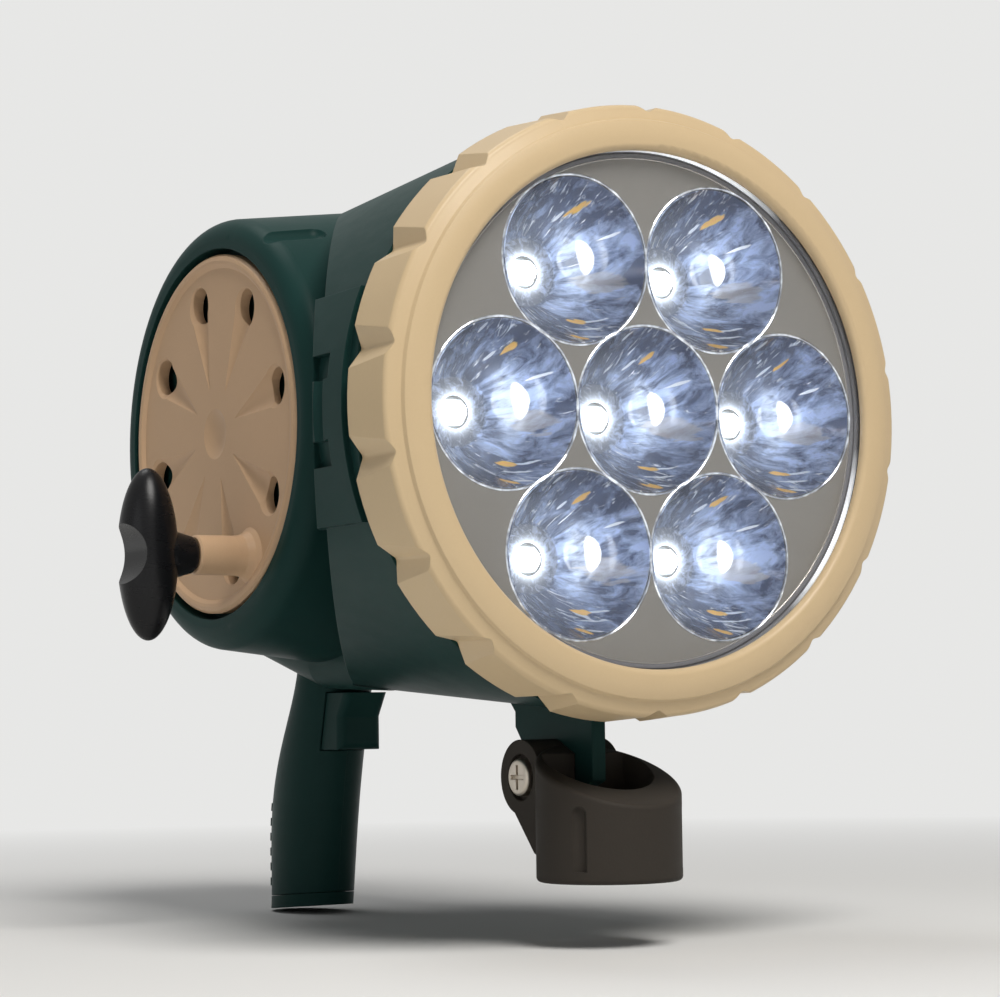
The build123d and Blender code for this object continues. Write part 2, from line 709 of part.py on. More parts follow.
# ---------------------------------------------------------------- rear housing
def drum_boss_solids():
    """Bosses on the drum's front that reach the shell's web, with screw holes."""
    y_web = FRONT_Y + WEB_DEPTH + WEB_T
    bosses = []
    for x, z in WEB_SCREWS:
        radius = DRUM_MID_R - (DRUM_MID_R - DRUM_FACE_R) / DRUM_HALF * abs(x)
        y_drum = CRANK_Y - sqrt(radius ** 2 - z ** 2)
        bosses.append(cyl_y(4.2, y_web, y_drum + 3.0, x, CRANK_Z + z))
    return bosses


GRIP_SCREWS = [10.0]                       # heights in the grip
REAR_SCREWS = [(63.5, 14.0), (63.5, -14.0)]    # behind and above the crank axis


def housing_outer():
    """Drum, keel and grip as one solid, before it is hollowed."""
    drum = drum_solid()
    rim = [e for e in drum.edges().filter_by(GeomType.CIRCLE)
           if abs(abs(e.center().X) - DRUM_HALF) < 0.01 and e.radius > DRUM_FACE_R - 1]
    drum = fillet(rim, DRUM_ROUND)
    keel = keel_solid() - drum_solid(8.0) - shell_solid(-SEAM, SHOULDER_DEPTH, SHELL_END + SEAM)
    body = drum + keel + grip_solid()
    for boss in drum_boss_solids():
        body = body + boss
    # Shallow long niche on the drum's upper front, on both sides
    y, z = clock(NICHE_DEG, DRUM_FACE_R + (DRUM_MID_R - DRUM_FACE_R) * (1 - NICHE_X / DRUM_HALF))
    lift = NICHE_WIDTH / 2 - NICHE_SINK
    lean = degrees(atan((DRUM_MID_R - DRUM_FACE_R) / DRUM_HALF))
    half = (NICHE_LENGTH - NICHE_WIDTH) / 2
    niche = cyl_x(NICHE_WIDTH / 2, -half, half, 0, 0)
    niche = niche + Pos(half, 0, 0) * Sphere(NICHE_WIDTH / 2) + Pos(-half, 0, 0) * Sphere(NICHE_WIDTH / 2)
    for side in (-1, 1):
        spot = Pos(side * NICHE_X, y - lift * sin(radians(NICHE_DEG)), z + lift * cos(radians(NICHE_DEG)))
        body = body - spot * Rot(0, side * lean, 0) * niche
    return body


def housing_cavity():
    """Hollow of drum and grip."""
    drum = drum_solid(WALL, FLOOR_IN_X, DRUM_HALF - COVER_T - WALL)
    grip = grip_solid(GRIP_WALL) & box(-20, 20, 100, 240, -40, CRANK_Z - DRUM_FACE_R + 20)
    return drum + grip


def make_housing(side):
    """One half of the rear housing: side -1 carries the crank, side +1 the cover."""
    big = 300
    half_space = box(-big, 0, -big, big, -big, big) if side < 0 else box(0, big, -big, big, -big, big)
    body = (housing_outer() & half_space) - housing_cavity()
    body = body - butt_block(CAP_T + SEAM)
    # Front face of the crank side is a dished floor, of the other side a ledge for the cover
    if side < 0:
        body = body - cyl_x(RECESS_R, -DRUM_HALF - 1, RECESS_X, CRANK_Y, CRANK_Z)
        body = body + cyl_x(10.0, FLOOR_IN_X - 0.5, OUTER_PLATE_X, CRANK_Y, CRANK_Z)
        body = body - cyl_x(BUSH_R + FIT, RECESS_X - 1, OUTER_PLATE_X + 1, CRANK_Y, CRANK_Z)
        for deg in SPACER_DEGS:
            y, z = about_crank(deg, SPACER_AT_R)
            body = body + cyl_x(4.0, FLOOR_IN_X - 0.5, OUTER_PLATE_X, y, z)
            body = body - cyl_x(1.2, FLOOR_IN_X - 0.8, OUTER_PLATE_X + 1, y, z)
    else:
        body = body - cyl_x(LEDGE_R, DRUM_HALF - 12, DRUM_HALF + 1, CRANK_Y, CRANK_Z)
        body = body - cyl_x(COVER_R + SEAM, COVER_X, DRUM_HALF + 1, CRANK_Y, CRANK_Z)
        for y, z in cover_screw_places():
            body = body - cyl_x(1.05 + FIT, DRUM_HALF - 6.5, DRUM_HALF, y, z)
    # Seat of the trigger and the ledges behind it
    body = body - box(
        -TRIGGER_HALF - GAP, TRIGGER_HALF + GAP, TRIGGER_TOP_Y - 4, TRIGGER_BACK_Y + TRIGGER_TRAVEL + GAP,
        TRIGGER_LOW_Z - GAP, TRIGGER_HIGH_Z + GAP,
    )
    spring_back = TRIGGER_BACK_Y + SPRING_LENGTH
    rib = box(-12, 12, spring_back, spring_back + 2.4, TRIGGER_LOW_Z - 0.5, TRIGGER_HIGH_Z)
    shelf_z = TRIGGER_LOW_Z - SWITCH_SHELF_DROP
    shelf = box(-14, 14, grip_centre(shelf_z) - 22, grip_centre(shelf_z) + 22, shelf_z - 2, shelf_z)
    inner = grip_solid(GRIP_WALL - 0.5) & half_space
    body = body + (rib & inner) + (shelf & inner)
    body = body - cyl_z(2.4, shelf_z - 3, shelf_z + 1, 0, grip_centre(shelf_z) - 11)
    # Seat of the ribbed insert
    body = body - insert_envelope(SEAM)
    # Lead hole through the drum's front
    body = body - cyl_y(6.0, FRONT_Y + WEB_DEPTH + WEB_T - 1, CRANK_Y - DRUM_FACE_R + 12, 0, CRANK_Z)
    for x, z in WEB_SCREWS:
        if x * side > 0:
            body = body - cyl_y(1.3, FRONT_Y + WEB_DEPTH, FRONT_Y + WEB_DEPTH + WEB_T + 9.2, x, CRANK_Z + z)
    # Screws that draw the halves together
    for y, z in split_places():
        if side < 0:
            body = body + (cyl_x(3.6, -14, 0, y, z) & drum_or_grip())
            body = body - cyl_x(1.35, -11, 1, y, z)
        else:
            body = body + (cyl_x(3.6, 0, 14, y, z) & drum_or_grip())
            body = body - cyl_x(1.6, -1, 16, y, z) - cyl_x(3.1, 7.0, 16, y, z)
    return body


def drum_or_grip():
    """Room inside the outer walls that a screw boss may fill."""
    return drum_solid(1.0) + (grip_solid(1.0) & box(-20, 20, 100, 240, -40, 80))


def split_places():
    """(y, z) of the screws between the halves."""
    places = [(grip_centre(z), z) for z in GRIP_SCREWS]
    return places + [(CRANK_Y + back, CRANK_Z + up) for back, up in REAR_SCREWS]


def make_split_screws():
    """Screws across the halves, heads on the cover side."""
    solids = []
    for y, z in split_places():
        solids.append(Pos(7.0, y, z) * Rot(0, -90, 0) * screw(2.9, 1.8, 1.3, 17.0))
    return group(solids)


def make_web_screws():
    """Screws from the shell's web into the drum's front bosses."""
    y0 = FRONT_Y + WEB_DEPTH
    one = Rot(-90, 0, 0) * screw(2.9, 1.8, 1.28, 11.5)
    return group([Pos(x, y0, CRANK_Z + z) * one for x, z in WEB_SCREWS])


def insert_envelope(grow):
    """Strip along the grip's rear edge, from its surface inwards."""
    skin = grip_solid(-0.5) - grip_solid(INSERT_T + grow)
    low, high = INSERT_BOTTOM - grow, INSERT_TOP + grow
    reach = box(-INSERT_W / 2 - grow, INSERT_W / 2 + grow, grip_centre(low) + 4, 220, low, high)
    return skin & reach


def make_grip_insert():
    """Ribbed rubber strip on the grip's rear edge."""
    skin = grip_solid() - grip_solid(INSERT_T)
    reach = box(-INSERT_W / 2, INSERT_W / 2, grip_centre(INSERT_BOTTOM) + 4, 220, INSERT_BOTTOM, INSERT_TOP)
    strip = skin & reach
    proud = grip_solid(-RIB_H) - grip_solid(INSERT_T)
    pitch = (INSERT_TOP - INSERT_BOTTOM) / RIB_COUNT
    for k in range(RIB_COUNT):
        mid = INSERT_BOTTOM + (k + 0.5) * pitch
        low, high = mid - RIB_T / 2, mid + RIB_T / 2
        strip = strip + (proud & box(-INSERT_W / 2, INSERT_W / 2, grip_centre(low) + 4, 220, low, high))
    return strip


def make_butt_cap():
    """Cap that closes the grip and gives the lamp a flat foot."""
    cap = (grip_solid() & butt_block(CAP_T)) - butt_block(0.0)
    plug = (grip_solid(GRIP_WALL + SEAM) & butt_block(CAP_T + 4.0)) - butt_block(CAP_T - 0.5)
    return cap + plug


def make_side_cover():
    """Round cover on the side away from the crank, with posts for the board."""
    cover = crank_turned([
        (COVER_X, 0), (COVER_X, COVER_R), (DRUM_HALF - 0.6, COVER_R), (DRUM_HALF, COVER_R - 1.0),
        (DRUM_HALF, 40), (DRUM_HALF - 0.8, 38), (DRUM_HALF - 0.8, 0),
    ])
    for y, z in board_corners():
        cover = cover + cyl_x(3.0, PCB_X + PCB_T, COVER_X + 0.5, y, z)
        cover = cover - cyl_x(1.1, PCB_X, PCB_X + PCB_T + 8.2, y, z)
    for y, z in cover_screw_places():
        cover = cover - cyl_x(1.4, COVER_X - 1, DRUM_HALF + 1, y, z)
        cover = cover - cyl_x(2.6, DRUM_HALF - 1.4, DRUM_HALF + 1, y, z)
    return cover


def cover_screw_places():
    """(y, z) of the cover's screws."""
    return [about_crank(45 + 90 * k, (LEDGE_R + COVER_R) / 2) for k in range(4)]


def make_cover_screws():
    """Short screws that hold the side cover to its ledge."""
    solids = []
    for y, z in cover_screw_places():
        solids.append(Pos(DRUM_HALF - 1.4, y, z) * Rot(0, -90, 0) * screw(2.4, 1.3, 1.05, 4.6))
    return group(solids)


# ---------------------------------------------------------------- trigger
def make_trigger():
    """Sliding trigger with a curved front and a flange that keeps it in the grip."""
    outline = [
        (TRIGGER_BACK_Y, TRIGGER_LOW_Z), (TRIGGER_FRONT_Y, TRIGGER_LOW_Z),
        (TRIGGER_FRONT_Y, TRIGGER_HIGH_Z - 8), (TRIGGER_TOP_Y, TRIGGER_HIGH_Z),
        (TRIGGER_BACK_Y, TRIGGER_HIGH_Z),
    ]
    body = side_profile(outline, TRIGGER_HALF)
    front = [e for e in body.edges() if e.center().Y < TRIGGER_FRONT_Y + 0.01 and abs(e.center().X) > 1]
    low = [e for e in body.edges().filter_by(Axis.X)
           if e.center().Z < TRIGGER_LOW_Z + 0.01 and e.center().Y < TRIGGER_FRONT_Y + 0.01]
    body = fillet(front + low, 2.6)
    flange_y = TRIGGER_BACK_Y - TRIGGER_FLANGE_T
    body = body + box(
        -TRIGGER_FLANGE_HALF, TRIGGER_FLANGE_HALF, flange_y, TRIGGER_BACK_Y,
        TRIGGER_LOW_Z - TRIGGER_FLANGE_H, TRIGGER_LOW_Z + 1,
    )
    mid_z = (TRIGGER_LOW_Z + TRIGGER_HIGH_Z) / 2
    body = body - cyl_y(SPRING_R + 0.9, TRIGGER_BACK_Y - 3.0, TRIGGER_BACK_Y + 1, 0, mid_z)
    return body + cyl_y(1.6, TRIGGER_BACK_Y - 3.5, TRIGGER_BACK_Y + 1.5, 0, mid_z)


def make_trigger_spring():
    """Return spring: one round wire wound along Y between trigger and rib."""
    mid_z = (TRIGGER_LOW_Z + TRIGGER_HIGH_Z) / 2
    length = SPRING_LENGTH + 3.0 - 2 * SPRING_WIRE_R - 0.2
    pitch = length / SPRING_TURNS
    path = Helix(pitch=pitch, height=length, radius=SPRING_R)
    start = path @ 0
    section = Plane(origin=start, z_dir=path % 0) * Circle(SPRING_WIRE_R)
    spring = sweep(section, path=path, is_frenet=True)
    print("spring gap", round(pitch - 2 * SPRING_WIRE_R, 2))
    y0 = TRIGGER_BACK_Y - 3.0 + SPRING_WIRE_R + 0.1
    return Pos(0, y0, mid_z) * Rot(-90, 0, 0) * spring


def make_trigger_switch():
    """Sealed micro switch on the shelf in the grip; the trigger's flange meets its button."""
    low = TRIGGER_LOW_Z - SWITCH_SHELF_DROP
    front = TRIGGER_BACK_Y + TRIGGER_TRAVEL + 1.4
    case = box(-3.2, 3.2, front, front + 12.8, low, low + 9.5)
    case = fillet(case.edges().filter_by(Axis.X), 0.6)
    button = box(-1.2, 1.2, front - 1.1, front + 1, low + 7.7, low + 9.0)
    legs = box(-2.0, -1.2, front + 12, front + 15, low + 2, low + 4)
    return case + button + legs + Pos(3.2, 0, 0) * legs


# ---------------------------------------------------------------- crank
def make_crank_disc():
    """Crank disc with raised rim, eight scooped vents, centre dish, rear hub and post."""
    face, back = DISC_FACE_X, DISC_FACE_X + DISC_T
    rim_x = face - DISC_RIM_RISE
    hub_x = RECESS_X - 1.6
    bowl = [(face + DIMPLE_SINK, 0), (face + DIMPLE_SINK * 0.72, DIMPLE_R * 0.53), (face, DIMPLE_R)]
    profile = [
        bowl[-1], (face, DISC_R - DISC_RIM_W), (rim_x + 0.2, DISC_R - DISC_RIM_W + 1.2),
        (rim_x, DISC_R - 2.0), (rim_x + 0.2, DISC_R - 0.9), (rim_x + 1.2, DISC_R),
        (back - 0.8, DISC_R), (back, DISC_R - 0.8), (back, HUB_R), (hub_x, HUB_R), (hub_x, 0), bowl[0],
    ]
    edges = [ThreePointArc(*bowl)] + [Line(a, b) for a, b in zip(profile, profile[1:])]
    disc = Pos(0, CRANK_Y, CRANK_Z) * revolve(make_face(edges), axis=Axis.X)
    # Scoops: cones with a round end that lie along radii and sink into the face by the vent
    length = VENT_AT_R - SCOOP_FROM_R
    lean = degrees(atan2(SCOOP_BALL_R - SCOOP_SINK, length))
    cone = Cone(0.15, SCOOP_BALL_R, length, align=(Align.CENTER, Align.CENTER, Align.MIN))
    cone = cone + Pos(0, 0, length) * Sphere(SCOOP_BALL_R)
    for k in range(VENTS):
        deg = VENT_FIRST_DEG + k * 360 / VENTS
        spot = Pos(face, CRANK_Y, CRANK_Z) * Rot(deg, 0, 0) * Pos(0, 0, SCOOP_FROM_R)
        disc = disc - spot * Rot(0, -lean, 0) * cone
        y, z = clock(deg, VENT_AT_R)
        disc = disc - cyl_x(VENT_R, face - 6, back + 1, y, z)
    # Post with a flared foot
    flare = crank_turned([
        (face + 1.0, 0), (face + 1.0, POST_R + 2.6), (face, POST_R + 2.6), (face - 1.2, POST_R + 1.3),
        (face - 3.4, POST_R + 0.3), (face - 6.0, POST_R), (POST_END_X + 0.6, POST_R),
        (POST_END_X, POST_R - 0.6), (POST_END_X, 0),
    ], POST_Y, POST_Z)
    disc = disc + flare
    disc = disc - cyl_x(PIN_R + FIT, POST_END_X - 1, face + 1.5, POST_Y, POST_Z)
    return disc - cyl_x(SHAFT_R + FIT, face + 2.4, 0, CRANK_Y, CRANK_Z)


def make_crank_shaft():
    """Steel shaft from the disc's hub through the bushes to the far gearbox plate."""
    x0, x1 = DISC_FACE_X + 2.5, INNER_PLATE_X + PLATE_T + 1.5
    shaft = cyl_x(SHAFT_R, x0, x1, CRANK_Y, CRANK_Z)
    return chamfer(shaft.edges().filter_by(GeomType.CIRCLE), 0.5)


def make_shaft_bushes():
    """Flanged bronze bush in the housing floor and a plain one in the inner plate."""
    near = ring_x(BUSH_R, SHAFT_R + RUN, RECESS_X, OUTER_PLATE_X + PLATE_T, CRANK_Y, CRANK_Z)
    flange = ring_x(BUSH_R + 2.0, SHAFT_R + RUN, RECESS_X - 1.0, RECESS_X, CRANK_Y, CRANK_Z)
    far = ring_x(BUSH_R, SHAFT_R + RUN, INNER_PLATE_X, INNER_PLATE_X + PLATE_T, CRANK_Y, CRANK_Z)
    return group([near + flange, far])


def make_knob():
    """Long oval knob across the post, with a tapered neck and a finger saddle outside."""
    half_oval = Ellipse(KNOB_R, KNOB_Z) & Pos(KNOB_R, 0) * Rectangle(2 * KNOB_R, 3 * KNOB_Z)
    ball = Pos(KNOB_CENTRE_X, POST_Y, POST_Z) * revolve(Plane.XZ * half_oval, axis=Axis.Z)
    neck = crank_turned([
        (KNOB_START_X, 0), (KNOB_START_X, NECK_R - 0.6), (KNOB_START_X - 0.8, NECK_R),
        (KNOB_START_X - NECK_LENGTH + 1, NECK_WIDE_R - 0.4), (KNOB_START_X - NECK_LENGTH - 1, NECK_WIDE_R),
        (KNOB_CENTRE_X, NECK_WIDE_R), (KNOB_CENTRE_X, 0),
    ], POST_Y, POST_Z)
    outer_x = KNOB_CENTRE_X - KNOB_R
    saddle = cyl_y(KNOB_DENT_R, POST_Y - 15, POST_Y + 15, outer_x - KNOB_DENT_R + KNOB_DENT_SINK, POST_Z)
    knob = ball + neck - saddle
    end_x = KNOB_CENTRE_X + 0.5
    bore = cyl_x(PIN_R + RUN, end_x, KNOB_START_X + 1, POST_Y, POST_Z)
    chamber = cyl_x(PIN_HEAD_R + GAP, end_x, end_x + 3.4, POST_Y, POST_Z)
    return knob - bore - chamber


def make_knob_pin():
    """Headed pin: pressed into the post, the knob turns on it."""
    end_x = KNOB_CENTRE_X + 0.5 + GAP
    pin = cyl_x(PIN_R, end_x, DISC_FACE_X - 2.0, POST_Y, POST_Z)
    return pin + cyl_x(PIN_HEAD_R, end_x, end_x + 2.6, POST_Y, POST_Z)


# ---------------------------------------------------------------- gearbox and generator
def plate_outline(x0):
    """Blank of a gearbox plate that starts at x0."""
    return cyl_x(PLATE_R, x0, x0 + PLATE_T, CRANK_Y, CRANK_Z)


def make_gear_plate(outer):
    """One of the two gearbox plates."""
    x0 = OUTER_PLATE_X if outer else INNER_PLATE_X
    plate = plate_outline(x0)
    plate = plate - cyl_x(BUSH_R + FIT, x0 - 1, x0 + PLATE_T + 1, CRANK_Y, CRANK_Z)
    for deg in SPACER_DEGS:
        y, z = about_crank(deg, SPACER_AT_R)
        plate = plate - cyl_x(1.4, x0 - 1, x0 + PLATE_T + 1, y, z)
    plate = plate - cyl_x(AXLE_R + FIT, x0 - 1, x0 + PLATE_T + 1, STAGE_Y, STAGE_Z)
    if not outer:
        plate = plate - cyl_x(AXLE_R + RUN, x0 - 1, x0 + PLATE_T + 1, ROTOR_Y, ROTOR_Z)
    for deg in (182.0, 262.0, 322.0):
        y, z = about_crank(deg, 30.0)
        plate = plate - cyl_x(8.0, x0 - 1, x0 + PLATE_T + 1, y, z)
    return plate


def make_gear_spacers():
    """Turned spacers between the gearbox plates."""
    solids = []
    for deg in SPACER_DEGS:
        y, z = about_crank(deg, SPACER_AT_R)
        solids.append(ring_x(SPACER_R, 1.4, OUTER_PLATE_X + PLATE_T, INNER_PLATE_X, y, z))
    return group(solids)


def make_gearbox_screws():
    """Screws through plates and spacers into the housing's posts."""
    solids = []
    length = INNER_PLATE_X + PLATE_T - OUTER_PLATE_X + 3.6
    for deg in SPACER_DEGS:
        y, z = about_crank(deg, SPACER_AT_R)
        solids.append(Pos(INNER_PLATE_X + PLATE_T, y, z) * Rot(0, -90, 0) * screw(2.8, 1.8, 1.18, length))
    return group(solids)


def make_drive_gear():
    """Large gear on the crank shaft, lightened by six round holes."""
    wheel = gear(DRIVE_TEETH, GEAR_X, GEAR_W, CRANK_Y, CRANK_Z, STAGE_DEG)
    wheel = wheel + cyl_x(8.0, GEAR_X - 0.5, GEAR_X + GEAR_W + 2.0, CRANK_Y, CRANK_Z)
    wheel = wheel - cyl_x(SHAFT_R + FIT, -90, 0, CRANK_Y, CRANK_Z)
    for k in range(6):
        y, z = about_crank(60 * k + 30, 18.0)
        wheel = wheel - cyl_x(5.4, GEAR_X - 1, GEAR_X + GEAR_W + 1, y, z)
    return wheel


def make_stage_gear():
    """Compound gear: small pinion in mesh with the drive gear, wheel in mesh with the rotor."""
    half_pitch = 180 / PINION_TEETH
    pinion = gear(PINION_TEETH, GEAR_X - 0.3, GEAR_W + 1.1, STAGE_Y, STAGE_Z, STAGE_DEG + 180 + half_pitch)
    wheel = gear(WHEEL_TEETH, WHEEL_X, WHEEL_W, STAGE_Y, STAGE_Z, 180)
    hub = cyl_x(4.0, WHEEL_X + WHEEL_W - 0.5, INNER_PLATE_X - GAP, STAGE_Y, STAGE_Z)
    return pinion + wheel + hub - cyl_x(AXLE_R + RUN, -90, 0, STAGE_Y, STAGE_Z)


def make_stage_axle():
    """Fixed axle of the stage gear, held in both plates."""
    return cyl_x(AXLE_R, OUTER_PLATE_X, INNER_PLATE_X + PLATE_T, STAGE_Y, STAGE_Z)


def make_rotor():
    """Generator rotor: pinion, shaft and ring magnet in one turning piece."""
    half_pitch = 180 / PINION_TEETH
    pinion = gear(PINION_TEETH, WHEEL_X - 0.3, WHEEL_W + 0.6, ROTOR_Y, ROTOR_Z, half_pitch)
    shaft = cyl_x(AXLE_R, WHEEL_X - 1.0, CASE_X + CASE_L - CASE_WALL / 2, ROTOR_Y, ROTOR_Z)
    magnet = cyl_x(MAGNET_R, CASE_X + 4.0, CASE_X + CASE_L - 5.0, ROTOR_Y, ROTOR_Z)
    return pinion + shaft + magnet


def make_generator_case():
    """Drawn steel case with closed ends and two bearing holes."""
    case = cyl_x(CASE_R, CASE_X, CASE_X + CASE_L, ROTOR_Y, ROTOR_Z)
    case = fillet([e for e in case.edges().filter_by(GeomType.CIRCLE) if e.center().X > CASE_X + 1], 1.2)
    hollow = cyl_x(CASE_R - CASE_WALL, CASE_X + CASE_WALL, CASE_X + CASE_L - CASE_WALL, ROTOR_Y, ROTOR_Z)
    return case - hollow - cyl_x(AXLE_R + RUN, CASE_X - 1, CASE_X + CASE_L + 1, ROTOR_Y, ROTOR_Z)


def make_generator_coils():
    """Wound ring inside the case, round the magnet."""
    x0, x1 = CASE_X + 3.0, CASE_X + CASE_L - 4.0
    ring = ring_x(CASE_R - CASE_WALL, COIL_BORE_R, x0, x1, ROTOR_Y, ROTOR_Z)
    return fillet(ring.edges().filter_by(GeomType.CIRCLE).sort_by(SortBy.RADIUS)[:2], 0.8)


# ---------------------------------------------------------------- cells and board
def cell_places():
    """Cell centres along Y, side by side under the gearbox."""
    first = -(CELLS - 1) * CELL_PITCH / 2
    return [CRANK_Y + first + k * CELL_PITCH for k in range(CELLS)]


def make_cells():
    """Row of rechargeable cells that lie across the drum."""
    solids = []
    for y in cell_places():
        can = cyl_x(CELL_R, CELL_X, CELL_X + CELL_L - 1.2, y, CELL_Z)
        can = fillet(can.edges().filter_by(GeomType.CIRCLE), 0.6)
        solids.append(can + cyl_x(2.6, CELL_X + CELL_L - 1.4, CELL_X + CELL_L, y, CELL_Z))
    return group(solids)


def make_cell_contacts():
    """Spring plates that join the cells at both ends."""
    half = CELLS * CELL_PITCH / 2 - 1
    low, high = CELL_Z - 5.5, CELL_Z + 5.5
    near = box(CELL_X - CONTACT_T, CELL_X, CRANK_Y - half, CRANK_Y + half, low, high)
    far = box(CELL_X + CELL_L, CELL_X + CELL_L + CONTACT_T, CRANK_Y - half, CRANK_Y + half, low, high)
    return group([near, far])


def make_cell_tray():
    """Cradle under the cells, shaped to the drum's inside, open below."""
    half = CELLS * CELL_PITCH / 2 + 1
    x0, x1 = CELL_X - 2.0, CELL_X + CELL_L + 1.8
    tray = drum_solid(WALL + SEAM, x0, x1) & box(x0, x1, CRANK_Y - half, CRANK_Y + half, 0, CELL_Z)
    for y in cell_places():
        tray = tray - cyl_x(CELL_R + SEAM, CELL_X - 0.6, CELL_X + CELL_L + 0.6, y, CELL_Z)
    for x in (CELL_X - CONTACT_T, CELL_X + CELL_L):
        tray = tray - box(
            x - 0.1, x + CONTACT_T + 0.1, CRANK_Y - half + 1, CRANK_Y + half - 1,
            CELL_Z - CELL_R - 0.2, CELL_Z + 1,
        )
    core = box(x0 + 5, x1 - 5, CRANK_Y - half + 4, CRANK_Y + half - 4, 0, CELL_Z - CELL_R - 2.4)
    core = core + box(x0 - 1, x0 + 12, CRANK_Y + 14, CRANK_Y + half + 1, 0, CELL_Z - CELL_R - 2.4)
    return tray - core - grip_solid(-1.0)


def board_corners():
    """(y, z) of the board's screws."""
    inset = 4.0
    return [
        (CRANK_Y + y, CRANK_Z + z)
        for y in (PCB_Y[0] + inset, PCB_Y[1] - inset)
        for z in (PCB_Z[0] + inset, PCB_Z[1] - inset)
    ]


def make_control_board():
    """Board that stands beside the gearbox on the cover's posts."""
    board = box(
        PCB_X, PCB_X + PCB_T, CRANK_Y + PCB_Y[0], CRANK_Y + PCB_Y[1],
        CRANK_Z + PCB_Z[0], CRANK_Z + PCB_Z[1],
    )
    board = fillet(board.edges().filter_by(Axis.X), 2.0)
    for y, z in board_corners():
        board = board - cyl_x(1.3, PCB_X - 1, PCB_X + PCB_T + 1, y, z)
    return board


def make_board_parts():
    """Two capacitors, a rectifier bridge, a driver chip and a coil on the board."""
    y, z = CRANK_Y, CRANK_Z
    solids = [
        fillet(cyl_x(5.0, PCB_X - 12, PCB_X, y - 18, z - 8).edges().filter_by(GeomType.CIRCLE), 0.6),
        fillet(cyl_x(5.0, PCB_X - 12, PCB_X, y - 6, z - 8).edges().filter_by(GeomType.CIRCLE), 0.6),
        box(PCB_X - 5, PCB_X, y + 6, y + 19, z - 14, z - 9),
        box(PCB_X - 2.4, PCB_X, y + 8, y + 18, z + 2, z + 8),
        ring_x(6.0, 2.4, PCB_X - 5, PCB_X, y + 12, z + 22),
    ]
    return group(solids)


def make_board_screws():
    """Screws that hold the board to the cover's posts."""
    return group([
        Pos(PCB_X, y, z) * Rot(0, 90, 0) * screw(2.3, 1.5, 1.08, 7.5) for y, z in board_corners()
    ])


# ---------------------------------------------------------------- bracket
def make_bracket():
    """Tilting bracket: pole socket in front, clevis cheeks behind, sloping rim."""
    top = PIVOT_Z + LOBE_R
    cup = cyl_z(CUP_R, 0, top, 0, 0)
    foot = [e for e in cup.edges().filter_by(GeomType.CIRCLE) if e.center().Z < 1]
    cup = fillet(foot, 1.4)
    rim_rear = BRACKET_RIM_FRONT + BRACKET_RIM_SLOPE * (2 * CUP_R + 1)
    cup = cup & side_profile([
        (-CUP_R - 1, -1), (CUP_R + 1, -1), (CUP_R + 1, rim_rear), (-CUP_R, BRACKET_RIM_FRONT),
        (-CUP_R - 1, BRACKET_RIM_FRONT - BRACKET_RIM_SLOPE),
    ], CUP_R + 1)
    rim = cup.faces().sort_by(Axis.Z)[-1]
    cup = fillet([e for e in rim.edges() if e.center().Z < top - 4], BRACKET_RIM_ROUND)
    cheek_front = 2.0
    cheeks = side_profile([
        (cheek_front, 8), (14.0, 6.0), (17.5, 7.5), (PIVOT_Y + LOBE_R * 0.97, PIVOT_Z - LOBE_R * 0.24),
        (PIVOT_Y, PIVOT_Z), (PIVOT_Y - LOBE_R * 0.9, PIVOT_Z + LOBE_R * 0.43), (cheek_front, 29.0),
    ], CLEVIS_HALF)
    cheeks = cheeks + cyl_x(LOBE_R, -CLEVIS_HALF, CLEVIS_HALF, PIVOT_Y, PIVOT_Z)
    body = cup + cheeks
    # Socket from below, stop ring, pocket from above
    body = body - cyl_z(SOCKET_R, -1, SOCKET_L, 0, 0)
    body = body - cyl_z(STOP_R, SOCKET_L - 1, SOCKET_L + STOP_T + 1, 0, 0)
    pocket = cyl_z(POCKET_R, SOCKET_L + STOP_T, top + 1, 0, POCKET_BACK)
    body = body - (pocket & box(-CUP_R, CUP_R, -CUP_R, POCKET_END, 0, top + 2))
    # Slot for the fin
    half = FIN_T / 2 + GAP
    body = body - box(-half, half, CUP_R - 3.0, PIVOT_Y + LOBE_R + 5, -1, top + 1)
    body = body - box(-half, half, -5, CUP_R, PIVOT_Z - FIN_LOBE_R + 1.5, top + 1)
    body = body - cyl_x(BOLT_R + FIT, -20, 20, PIVOT_Y, PIVOT_Z)
    body = body - cyl_x(HEAD_POCKET_R, -CLEVIS_HALF - 1, -CLEVIS_HALF + HEAD_POCKET_DEPTH, PIVOT_Y, PIVOT_Z)
    nut = hex_x(NUT_FLATS + 2 * SEAM, CLEVIS_HALF - NUT_POCKET, CLEVIS_HALF + 1)
    body = body - nut
    # Upright grooves on the cup
    for side in (-1, 1):
        a = radians(SIDE_GROOVE_DEG)
        x, y = side * (CUP_R + 0.9) * sin(a), -(CUP_R + 0.9) * cos(a)
        groove = cyl_z(SIDE_GROOVE_W / 2, 3.5, 19.0, x, y) + Pos(x, y, 19.0) * Sphere(SIDE_GROOVE_W / 2)
        body = body - groove
    return body


def hex_x(flats, x0, x1):
    """Hexagonal prism along X at the pivot."""
    plane = Plane((x0, PIVOT_Y, PIVOT_Z), x_dir=(0, 1, 0), z_dir=(1, 0, 0))
    return extrude(plane * RegularPolygon(flats / 2, 6, major_radius=False), x1 - x0)


